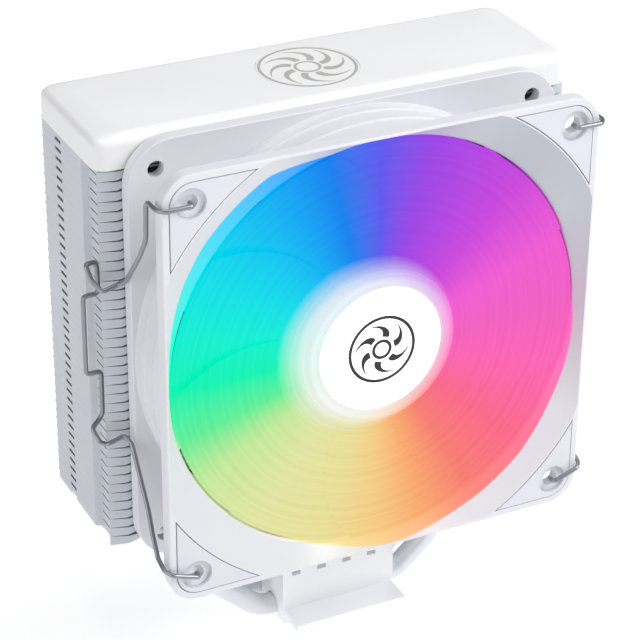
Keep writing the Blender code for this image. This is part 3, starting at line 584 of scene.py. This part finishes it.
def tube(bm, route, radius, sides):
    """A round bar along a route, with domed ends."""
    points = [Vector(point) for point in route]
    rings = []
    side = Vector((0.31, 0.93, 0.19))       # any direction that no route starts along
    for i, point in enumerate(points):
        along = (points[min(i + 1, len(points) - 1)] - points[max(i - 1, 0)]).normalized()
        side = (side - along * side.dot(along)).normalized()
        other = along.cross(side)
        spokes = [math.cos(a) * side + math.sin(a) * other
                  for a in (k * math.tau / sides for k in range(sides))]
        rings.append([bm.verts.new(point + radius * spoke) for spoke in spokes])
    for first, second in zip(rings, rings[1:]):
        bridge(bm, first, second)
    for end, inner in ((0, 1), (-1, -2)):
        out = (points[end] - points[inner]).normalized()
        add_dome(bm, rings[end], points[end], out, radius)


def rounded_route(route, bend, steps=6):
    """The same route with each corner eased over about one bend length."""
    points = [Vector(point) for point in route]
    eased = [points[0]]
    for before, corner, after in zip(points, points[1:], points[2:]):
        reach_in = min(bend, (before - corner).length * 0.5)
        reach_out = min(bend, (after - corner).length * 0.5)
        start = corner + (before - corner).normalized() * reach_in
        end = corner + (after - corner).normalized() * reach_out
        for i in range(steps + 1):
            t = i / steps
            eased.append(start * (1 - t) ** 2 + corner * 2 * t * (1 - t) + end * t ** 2)
    eased.append(points[-1])
    clean = [eased[0]]
    for point in eased[1:]:
        if (point - clean[-1]).length > SHORTEST_STEP:
            clean.append(point)
    return clean


# ------------------------------------------------------------------ pieces
def settle(obj, body, replaced=()):
    """Hang a piece on the body it rides and hide the CAD nodes it stands for."""
    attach(obj, body)
    if replaced:
        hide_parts(*replaced)


def piece(name, bm, materials, place=None, sharp=35):
    """A new object from a mesh under construction; edges over sharp degrees stay crisp."""
    bmesh.ops.recalc_face_normals(bm, faces=bm.faces)
    mesh = bpy.data.meshes.new(name)
    bm.to_mesh(mesh)
    bm.free()
    for material in materials:
        mesh.materials.append(material)
    mesh.shade_smooth()
    if sharp:
        mesh.set_sharp_from_angle(angle=math.radians(sharp))
    obj = bpy.data.objects.new(name, mesh)
    bpy.context.scene.collection.objects.link(obj)
    if place is not None:
        obj.matrix_world = place
    return obj


def soften(obj, width):
    """Small rounded edges, so that they catch the light."""
    bevel = obj.modifiers.new("Bevel", "BEVEL")
    bevel.width = width
    bevel.segments = 2
    bevel.limit_method = "ANGLE"
    bevel.angle_limit = math.radians(35)
    bevel.harden_normals = True
    return obj


def refined(node, name, material, body, width):
    """A CAD piece's own shape with merged flats and softened edges."""
    bm = bmesh.new()
    bm.from_mesh(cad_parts[node].data)
    bmesh.ops.remove_doubles(bm, verts=bm.verts, dist=1e-6)
    bmesh.ops.dissolve_limit(bm, angle_limit=math.radians(1), verts=bm.verts, edges=bm.edges)
    obj = soften(piece(name, bm, [material], sharp=None), width)
    settle(obj, body, [node])


# ------------------------------------------------------------------ cover and its emblem
def make_cover(materials):
    """A hollow shell, built from its ceiling down the inside and up the outside, with a round recess."""
    bm = bmesh.new()
    half_x = (COVER_HIGH.x - COVER_LOW.x) / 2
    half_y = (COVER_HIGH.y - COVER_LOW.y) / 2
    low, top = COVER_LOW.z, COVER_HIGH.z
    corner = COVER_CORNER

    def course(inset_x, inset_y, z, radius):
        return ring(bm, rounded_rectangle(half_x - inset_x, half_y - inset_y, radius), z)

    ceiling = course(COVER_WALL, COVER_WALL, top - COVER_ROUND, corner / 2)
    fill(bm, ceiling)
    last = bridge(bm, ceiling, course(COVER_WALL, COVER_WALL, low, corner / 2))
    last = bridge(bm, last, course(COVER_CHAMFER, COVER_CHAMFER, low, corner))
    last = bridge(bm, last, course(0.0, 0.0, low + COVER_CHAMFER, corner))
    for i in range(COVER_STEPS + 1):
        turn = i / COVER_STEPS * COVER_TURN
        inset = COVER_ROUND * (1 - math.cos(turn))
        z = top - COVER_DROP - COVER_ROUND * (1 - math.sin(turn))
        last = bridge(bm, last, course(inset, inset, z, corner - inset * 0.3))
    for extra, drop in ((0.0, 0.05 * MM), (0.5 * MM, 0.0)):     # the slope ends in a soft edge
        rise = course(COVER_SLOPE + extra, COVER_ROUND + 0.9 * MM + extra, top - drop, corner * 0.6)
        last = bridge(bm, last, rise)
    recess = circle(RECESS_RADIUS, LATHE_SIDES)
    rim = ring(bm, recess, top)
    fill(bm, last, rim)
    fill(bm, bridge(bm, rim, ring(bm, recess, top - RECESS_DEPTH)))
    cover = piece("cover_shell", bm, [materials["cover"]], sharp=24)
    settle(cover, "tower", ["top_cover"])


def vane(start, sweep, breadth, inner, outer, steps=16):
    """Outline of a curved vane: broad near the middle, a point at its tip."""
    lead, trail = [], []
    for i in range(steps + 1):
        t = i / steps
        radius = inner + (outer - inner) * t
        angle = start + sweep * t * t
        for edge, turn in ((lead, angle), (trail, angle + breadth * (1 - t) ** 0.7)):
            edge.append((radius * math.cos(turn), radius * math.sin(turn)))
    return lead + trail[-2::-1]


def pinwheel(bm, sizes, arms, surface_height):
    """A generic fan mark, printed on a surface: a rim, a hub ring and curved vanes."""
    reach, hub, width = sizes
    low = surface_height - MARK_SUNK
    high = surface_height + MARK_PROUD
    plate(bm, [circle(reach, 72), circle(reach - width, 72)], low, high)
    plate(bm, [circle(hub, 40), circle(hub - width, 40)], low, high)
    for arm in range(arms):
        start = arm * math.tau / arms
        breadth = 0.5 * math.tau / arms
        plate(bm, [vane(start, VANE_SWEEP, breadth, hub + width, reach - width * 2)], low, high)


def make_emblem(materials):
    """A flush round inlay in the cover with a generic pinwheel in warm grey."""
    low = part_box("cover_medallion")[0].z
    radius = RECESS_RADIUS - EMBLEM_SEAM
    top = COVER_HIGH.z
    rim = [(radius - EMBLEM_SOFT, top), (radius, top - EMBLEM_SOFT), (radius, low)]
    bm = bmesh.new()
    lathe(bm, [(0.0, top)] + rim + [(0.0, low)])
    inlay = piece("cover_inlay", bm, [materials["cover"]], sharp=30)
    settle(inlay, "tower", ["cover_medallion"])
    bm = bmesh.new()
    pinwheel(bm, EMBLEM, EMBLEM_ARMS, top)
    mark = piece("cover_mark", bm, [materials["warm_ink"]], sharp=30)
    settle(mark, "tower")


# ------------------------------------------------------------------ fins
def fin_edge():
    """A fin's outline, anticlockwise, with the clip's groove near the front of each side."""
    edge = FIN_HIGH.x
    rear = FIN_HIGH.y
    front = FIN_LOW.y
    floor = edge - GROOVE_DEPTH
    lead = GROOVE_DEPTH / 2
    right = [(edge - FIN_CORNER, front), (edge, GROOVE_FRONT - lead), (floor, GROOVE_FRONT),
             (floor, GROOVE_REAR), (edge, GROOVE_REAR + lead), (edge, rear - FIN_NICK),
             (edge - FIN_NICK, rear)]
    left = [(-x, y) for x, y in right][::-1]
    return right + left


def pipe_holes(radius, sides):
    holes = []
    for y, left, right in PIPE_LEGS:
        for x in (left, right):
            holes.append(circle(radius, sides, (x * MM, y * MM)))
    return holes


def fold_path():
    """Right-hand fold from the rear to the front corner and a little way along the front.

    Each stop is (x, y, gap), where gap is the opening left above the next fin down.
    """
    edge = FIN_HIGH.x
    floor = edge - GROOVE_DEPTH
    lead = GROOVE_DEPTH / 2
    inner_rear = GROOVE_REAR - 2 * lead
    inner_front = GROOVE_FRONT + 2 * lead
    front = FIN_LOW.y
    step = 0.05 * MM
    return (
        (edge, FIN_HIGH.y - 1.0 * MM, FOLD_SEAM), (edge, SLOT_REAR + step, FOLD_SEAM),
        (edge, SLOT_REAR, SLOT_HEIGHT), (edge, SLOT_FRONT, SLOT_HEIGHT),
        (edge, SLOT_FRONT - step, FOLD_SEAM), (edge, GROOVE_REAR + lead, FOLD_SEAM),
        (floor, GROOVE_REAR, FOLD_SEAM), (floor, inner_rear, FOLD_SEAM),
        (floor, inner_rear - step, GROOVE_SEAM), (floor, inner_front, GROOVE_SEAM),
        (floor, inner_front - step, FOLD_SEAM), (floor, GROOVE_FRONT, FOLD_SEAM),
        (edge, GROOVE_FRONT - lead, FOLD_SEAM), (edge - FIN_CORNER, front, FRONT_FOLD_GAP * 0.4),
        (FRONT_FOLD_END, front, FRONT_FOLD_GAP),
    )


def add_fold(bm, side, z):
    """The wall hanging from the fin at height z."""
    rings = []
    for x, y, gap in fold_path():
        low = z - FIN_PITCH + FIN_THICK + gap
        inner_x = x - FOLD_THICK
        inner_y = max(y, FIN_LOW.y + FOLD_THICK)
        section = ((x, y, low), (x, y, z), (inner_x, inner_y, z), (inner_x, inner_y, low))
        rings.append([bm.verts.new((side * px, py, pz)) for px, py, pz in section])
    bm.faces.new(rings[0])
    bm.faces.new(rings[-1])
    for first, second in zip(rings, rings[1:]):
        bridge(bm, first, second)


def make_fins(materials):
    """The fins with their folded sides and the collars round the pipes."""
    edge = fin_edge()
    holes = pipe_holes(PIPE_RADIUS + COLLAR_INNER, COLLAR_SIDES)
    collars = pipe_holes(PIPE_RADIUS + COLLAR_OUTER, COLLAR_SIDES)
    collar_top = FIN_PITCH * COLLAR_HEIGHT
    bm = bmesh.new()
    for level in range(FINS):
        z = FIN_BOTTOM + level * FIN_PITCH
        plate(bm, [edge] + holes, z, z + FIN_THICK)
        for inner, outer in zip(holes, collars):
            foot = ring(bm, outer, z + FIN_THICK)
            rim = bridge(bm, foot, ring(bm, outer, z + collar_top))
            bridge(bm, rim, ring(bm, inner, z + collar_top))
        for side in SIDES:
            add_fold(bm, side, z)
    fins = piece("fin_stack", bm, [materials["fins"]], sharp=30)
    packs = [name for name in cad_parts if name.startswith("fin_pack")]
    settle(fins, "tower", packs)


# ------------------------------------------------------------------ base and heat pipes
def make_base(materials):
    refined("base_block", "milled_block", materials["base"], "tower", 0.25 * MM)


def pipe_route(left, right, y):
    """Centre line of one pipe, from the top of its left leg to the top of its right leg."""
    halves = []
    for leg in (left, right):
        side = math.copysign(1.0, leg)
        lower = arc(PIPE_BEND, -math.pi / 2, PIPE_SLANT - math.pi / 2, 10,
                    (PIPE_EXIT, PIPE_HEIGHT + PIPE_BEND))
        run = (abs(leg) - PIPE_EXIT - PIPE_BEND) / math.cos(PIPE_SLANT)
        centre = (abs(leg) - PIPE_BEND, PIPE_HEIGHT + PIPE_BEND + run * math.sin(PIPE_SLANT))
        upper = arc(PIPE_BEND, PIPE_SLANT - math.pi / 2, 0.0, 10, centre)
        half = [(side * x, y, z) for x, z in lower + upper]
        halves.append(half + [(leg, y, PIPE_TOP - PIPE_RADIUS)])
    return halves[0][::-1] + halves[1]


def make_heat_pipes(materials):
    for number, (y, left, right) in enumerate(PIPE_LEGS, start=1):
        bm = bmesh.new()
        tube(bm, pipe_route(left * MM, right * MM, y * MM), PIPE_RADIUS, 28)
        for vert in bm.verts:
            vert.co.z = max(vert.co.z, PIPE_FLAT)
        pipe = piece(f"pipe_{number}", bm, [materials["pipes"]], sharp=60)
        settle(pipe, "tower", [f"heat_pipe_{number}"])


# ------------------------------------------------------------------ fan frame and pads
def pad_outline(corner_radius, grow=0.0):
    """One corner pad in the upper right corner: two straight sides, a round corner, an arc."""
    side = HALF_FAN - PAD_INSET + grow
    inner = PAD_ARC - grow
    corner = corner_radius - PAD_INSET + grow
    centre = side - corner
    end = math.acos(side / inner)
    points = arc(corner, 0.0, math.pi / 2, 8, (centre, centre))
    return points + arc(inner, math.pi / 2 - end, end, 20)


def screw_holes(radius, sides=28):
    corner = circle(radius, sides, (HOLE_OFFSET, HOLE_OFFSET))
    return [turned(corner, quarter) for quarter in range(4)]


def flange_outline(corner_radius, inset):
    return rounded_rectangle(HALF_FAN - inset, HALF_FAN - inset, corner_radius - inset)


def make_flange(bm, face, direction, corner_radius, mouth, neck):
    """One flange: its face with pad pockets, its rim, and its back up to the barrel.

    The face is at height face, the back lies the flange's thickness further along direction.
    """
    back = face + direction * FLANGE_THICK
    pocket_floor = face + direction * (PAD_THICK - PAD_PROUD + POCKET_PLAY)
    outlines = [turned(pad_outline(corner_radius, PAD_SEAM), quarter) for quarter in range(4)]
    pockets = [ring(bm, outline, face) for outline in outlines]
    last = ring(bm, flange_outline(corner_radius, FLANGE_SOFT), face)
    fill(bm, last, mouth, *pockets)
    courses = (
        (FLANGE_SOFT * 0.3, face + direction * FLANGE_SOFT * 0.3), (0.0, face + direction * FLANGE_SOFT),
        (0.0, back - direction * FLANGE_SOFT / 2), (FLANGE_SOFT / 2, back),
    )
    for inset, height in courses:
        last = bridge(bm, last, ring(bm, flange_outline(corner_radius, inset), height))
    far_holes = []
    for pocket, outline, hole in zip(pockets, outlines, screw_holes(HOLE_RADIUS)):
        floor = bridge(bm, pocket, ring(bm, outline, pocket_floor))
        near = ring(bm, hole, pocket_floor)
        fill(bm, floor, near)
        far_holes.append(bridge(bm, near, ring(bm, hole, back)))
    fill(bm, last, neck, *far_holes)


def mouth_outline(roundness):
    """Front opening, from its outline in the flange's face (0) to the round duct (1)."""
    points = []
    for x, y in circle(1.0, DUCT_SIDES):
        face = min(MOUTH_CORNER, MOUTH_REACH / max(abs(x), abs(y)))
        radius = face + (BARREL_INNER - face) * roundness
        points.append((x * radius, y * radius))
    return points


def make_fan_frame(materials):
    """Flanges, funnel mouth, air duct and hooped barrel as one moulding."""
    bm = bmesh.new()
    rings = [ring(bm, mouth_outline(roundness), FRONT - depth * MOUTH_DEPTH)
             for roundness, depth in MOUTH_COURSES]
    rings += [ring(bm, circle(radius * MM, DUCT_SIDES), REAR + depth * MM)
              for radius, depth in OUTLET_FLARE]
    for first, second in zip(rings, rings[1:]):
        bridge(bm, first, second)
    for face in bm.faces:
        face.material_index = 1
    outside = [(BARREL_OUTER, REAR + FLANGE_THICK)]
    for hoop in HOOPS:
        half = HOOP_WIDTH / 2
        outside += [(BARREL_OUTER, hoop - half), (HOOP_RADIUS, hoop - half * 0.7),
                    (HOOP_RADIUS, hoop + half * 0.7), (BARREL_OUTER, hoop + half)]
    outside.append((BARREL_OUTER, FRONT - FLANGE_THICK))
    shell = [ring(bm, circle(radius, DUCT_SIDES), height) for radius, height in outside]
    for first, second in zip(shell, shell[1:]):
        bridge(bm, first, second)
    make_flange(bm, FRONT, -1, ROUND_FRONT, rings[0], shell[-1])
    make_flange(bm, REAR, 1, ROUND_REAR, rings[-1], shell[0])
    plastics = [materials["frame"], materials["mouth"]]
    fan_frame = piece("fan_housing", bm, plastics, FAN_TURN, sharp=16)
    settle(fan_frame, "tower", ["fan_frame"])


def make_pads(materials):
    faces = (
        ("front", ROUND_FRONT, FRONT + PAD_PROUD - PAD_THICK),
        ("rear", ROUND_REAR, REAR - PAD_PROUD),
    )
    for face, corner_radius, low in faces:
        for number in range(4):
            outline = turned(pad_outline(corner_radius), number)
            hole = turned(circle(PAD_HOLE, 36, (HOLE_OFFSET, HOLE_OFFSET)), number)
            bm = bmesh.new()
            plate(bm, [outline, hole], low, low + PAD_THICK)
            name = f"{face}_corner_pad_{number + 1}"
            pad = soften(piece(name, bm, [materials["pads"]], FAN_TURN, sharp=None), PAD_SOFT)
            settle(pad, "tower", [f"{face}_pad_{number + 1}"])


# ------------------------------------------------------------------ rotor
def blade_point(across, outward):
    """A point of a blade: across 0..1 front edge to rear edge, outward 0..1 root to tip."""
    root = HUB_RADIUS - 0.4 * MM
    radius = root + outward * (BLADE_TIP - root)
    span = BLADE_SPAN + ROOT_SPAN * (1 - outward)
    angle = (across - 0.5) * span + BLADE_SWEEP * outward * outward
    curl = BLADE_CURL + ROOT_CURL * (1 - outward)
    height = BLADE_FRONT + (BLADE_REAR - BLADE_FRONT) * across ** curl
    return Vector((radius * math.cos(angle), radius * math.sin(angle), height))


def add_blade(bm, turn):
    """A curved sheet with a front and a rear face and a thin edge all round."""
    rows, columns = 22, 14
    layers = []
    for level in (0.5, -0.5):
        grid = []
        for i in range(rows + 1):
            line = []
            for j in range(columns + 1):
                point = blade_point(i / rows, j / columns)
                thinned = min(1.0, 0.25 + 3 * min(i, rows - i) / rows)      # towards both long edges
                point.z += (level - 0.5) * BLADE_THICK * thinned
                line.append(bm.verts.new(turn @ point))
            grid.append(line)
        layers.append(grid)
    for grid in layers:
        for i in range(rows):
            for j in range(columns):
                bm.faces.new((grid[i][j], grid[i + 1][j], grid[i + 1][j + 1], grid[i][j + 1]))
    front, rear = layers
    rims = []
    for grid in (front, rear):
        rim = [grid[0][j] for j in range(columns + 1)]
        rim += [grid[i][columns] for i in range(1, rows + 1)]
        rim += [grid[rows][j] for j in range(columns - 1, -1, -1)]
        rim += [grid[i][0] for i in range(rows - 1, 0, -1)]
        rims.append(rim)
    bridge(bm, *rims)


def hub_profile():
    """Cup, open to the rear: seat for the cap, rounded front edge, wall, socket for the shaft."""
    seat = HUB_FRONT - CAP_THICK
    under = seat - HUB_WALL
    seam = 0.15 * MM
    lip = CAP_RADIUS + seam
    front = [(0.0, seat), (lip, seat), (lip, HUB_FRONT - seam), (lip + seam, HUB_FRONT)]
    round_edge = 1.6 * MM
    edge = arc(round_edge, math.pi / 2, 0.0, 6, (HUB_RADIUS - round_edge, HUB_FRONT - round_edge))
    chamfer = 0.3 * MM
    wall = [(HUB_RADIUS, HUB_REAR + chamfer), (HUB_RADIUS - chamfer, HUB_REAR), (HUB_INNER, HUB_REAR),
            (HUB_INNER, under)]
    outer, inner = 3.6 * MM, 1.8 * MM
    foot, top = under - 3 * MM, seat - 0.7 * MM
    socket = [(outer, under), (outer, foot), (inner, foot), (inner, top), (0.0, top)]
    return front + edge + wall + socket


def make_impeller(materials):
    bm = bmesh.new()
    for number in range(BLADES):
        add_blade(bm, Matrix.Rotation(number * math.tau / BLADES, 4, "Z"))
    blades = len(bm.faces)
    lathe(bm, hub_profile())
    bm.faces.ensure_lookup_table()
    for face in bm.faces[blades:]:
        face.material_index = 1
    impeller = piece("lit_impeller", bm, [materials["blades"], materials["hub"]], FAN_TURN)
    settle(impeller, "rotor", ["impeller"])


def make_hub_cap(materials):
    """Lit disc with a generic pinwheel printed on it."""
    low = HUB_FRONT - CAP_THICK
    top = -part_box("hub_cap")[0].y - 0.1 * MM
    bm = bmesh.new()
    rim = [(CAP_RADIUS - 3 * CAP_SOFT, top), (CAP_RADIUS - CAP_SOFT, top - CAP_SOFT * 0.4),
           (CAP_RADIUS, top - CAP_SOFT * 1.6), (CAP_RADIUS, low)]
    lathe(bm, [(0.0, top)] + rim + [(0.0, low)])
    cap = piece("lit_hub_cap", bm, [materials["cap"]], FAN_TURN, sharp=50)
    settle(cap, "rotor", ["hub_cap"])
    bm = bmesh.new()
    pinwheel(bm, HUB_MARK, HUB_MARK_ARMS, top)
    mark = piece("hub_mark", bm, [materials["ink"]], FAN_TURN, sharp=30)
    settle(mark, "rotor")


# ------------------------------------------------------------------ wire clips
def clip_route():
    """Right-hand clip from its lower hook to its upper one; z is from the fan's axis, all in mm."""
    side, face, hole, tip = 61.2, -46.9, 52.5, -44.9    # arm beside the fan, hook into the pad's hole
    shoulder, out, step, bend = 66.7, 69.4, -22.5, 0.6  # loops between the fan and the rail
    rail_x, rail_y = RAIL_X / MM, RAIL_Y / MM
    bottom, top = -5.5, 18
    lower_arm = [(hole, tip, -hole), (hole, face, -hole), (side - 1.5, face, -50),
                 (side, face + 2, -49.4), (side, -40.5, -48), (side, -37.5, -43), (side, -35, -37),
                 (side, -29.5, -29), (side, -25, -22.5), (side + 1, step, -21.2),
                 (shoulder, step, -22.7), (shoulder + 1, -19.5, -23.5), (out - bend, -17, -20.5),
                 (rail_x + bend, rail_y, -18.4)]
    rail = [(rail_x, rail_y, -17), (rail_x, rail_y, bottom), (rail_x + bend, rail_y, bottom + bend),
            (out - bend, rail_y, bottom + bend), (out, rail_y, bottom + 2 * bend),
            (out, rail_y, top - 2 * bend), (out - bend, rail_y, top - bend),
            (rail_x + bend, rail_y, top - bend), (rail_x, rail_y, top), (rail_x, rail_y, 25)]
    upper_arm = [(rail_x + bend, rail_y, 26.4), (out - bend, -17, 26.6), (shoulder + 1.4, -19, 23),
                 (shoulder, step, 21.2), (side + 1, step, 22.4), (side, -24.5, 24), (side, -29, 29),
                 (side, -34, 35), (side, -37.8, 40.6), (side, -38.5, 42.4), (side, -39, 51),
                 (side, -40.2, 52.3), (side, face + 2, 52.4), (side - 1.5, face, 52.4),
                 (hole, face, hole), (hole, tip, hole)]
    return lower_arm + rail + upper_arm


def make_wire_clips(materials):
    for name, side in (("left", -1), ("right", 1)):
        route = [(side * x * MM, y * MM, FAN_HEIGHT + z * MM) for x, y, z in clip_route()]
        bm = bmesh.new()
        tube(bm, rounded_route(route, WIRE_BEND), WIRE_RADIUS, 14)
        clip = piece(f"spring_clip_{name}", bm, [materials["wire"]], sharp=60)
        settle(clip, f"clip_{name}", [f"wire_clip_{name}"])


# ------------------------------------------------------------------ hidden motor parts
def make_motor(materials):
    """CAD shapes with softened edges, each with the material listed for it."""
    listed = [
        ("motor_mount", "frame", "tower", 0.3), ("rotor_yoke", "steel", "rotor", 0.15),
        ("magnet_ring", "magnet", "rotor", 0.15), ("rotor_shaft", "steel", "rotor", 0.15),
        ("shaft_retainer", "steel", "rotor", 0.08), ("stator_core", "stator", "tower", 0.15),
        ("bearing_sleeve", "brass", "tower", 0.15), ("circuit_board", "board", "tower", 0.15),
        ("motor_label", "label", "tower", 0.05),
    ]
    listed += [(f"stator_coil_{number}", "coils", "tower", 0.3) for number in range(1, 5)]
    listed += [(f"led_{number}", "leds", "tower", 0.2) for number in range(1, 7)]
    for node, material, body, edge in listed:
        refined(node, f"{node}_finished", materials[material], body, edge * MM)


# ------------------------------------------------------------------ stage, light and camera
def make_floor():
    """Pale paper that stays pale in the cooler's own shade."""
    bm = bmesh.new()
    bmesh.ops.create_grid(bm, x_segments=1, y_segments=1, size=FLOOR_REACH)
    paper = surface("pale_floor", (172, 172, 173), 0.8, grain=300.0, relief=0.01, tone=0.004)
    shader = paper.node_tree.nodes["Principled BSDF"]
    shader.inputs["Emission Color"].default_value = WHITE
    shader.inputs["Emission Strength"].default_value = FLOOR_GLOW
    floor = piece("floor", bm, [paper])


def area_light(name, place, power):
    """A round soft light aimed at the middle of the cooler."""
    light = bpy.data.lights.new(name, "AREA")
    light.shape = "DISK"
    light.size = LIGHT_SIZE
    light.energy = power
    obj = bpy.data.objects.new(name, light)
    bpy.context.scene.collection.objects.link(obj)
    obj.location = place
    obj.rotation_euler = (LIGHT_TARGET - Vector(place)).to_track_quat("-Z", "Y").to_euler()


def make_light():
    world = bpy.data.worlds.new("soft_studio")
    world.use_nodes = True
    background = world.node_tree.nodes["Background"]
    background.inputs["Color"].default_value = (0.97, 0.98, 1.0, 1.0)
    background.inputs["Strength"].default_value = WORLD_STRENGTH
    bpy.context.scene.world = world
    for name, place, power in LIGHTS:
        area_light(name, place, power)
    bpy.context.scene.view_settings.view_transform = "Standard"


def make_camera():
    level = math.cos(ELEVATION)
    back = Vector((math.sin(AZIMUTH) * level, -math.cos(AZIMUTH) * level, math.sin(ELEVATION)))
    right = Vector((0.0, 0.0, 1.0)).cross(back).normalized()
    up = back.cross(right)
    camera = bpy.data.cameras.new("camera")
    camera.lens = LENS
    camera.sensor_width = SENSOR
    camera.clip_start = 0.02
    camera.clip_end = 50.0
    obj = bpy.data.objects.new("camera", camera)
    bpy.context.scene.collection.objects.link(obj)
    turn = Matrix((right, up, back)).transposed() @ Matrix.Rotation(ROLL, 3, "Z")
    obj.matrix_world = Matrix.Translation(LOOK_AT + DISTANCE * back) @ turn.to_4x4()
    bpy.context.scene.camera = obj


def main():
    materials = make_materials()
    make_camera()
    make_cover(materials)
    make_emblem(materials)
    make_fins(materials)
    make_heat_pipes(materials)
    make_base(materials)
    make_fan_frame(materials)
    make_pads(materials)
    make_impeller(materials)
    make_hub_cap(materials)
    make_wire_clips(materials)
    make_motor(materials)
    make_floor()
    make_light()


main()
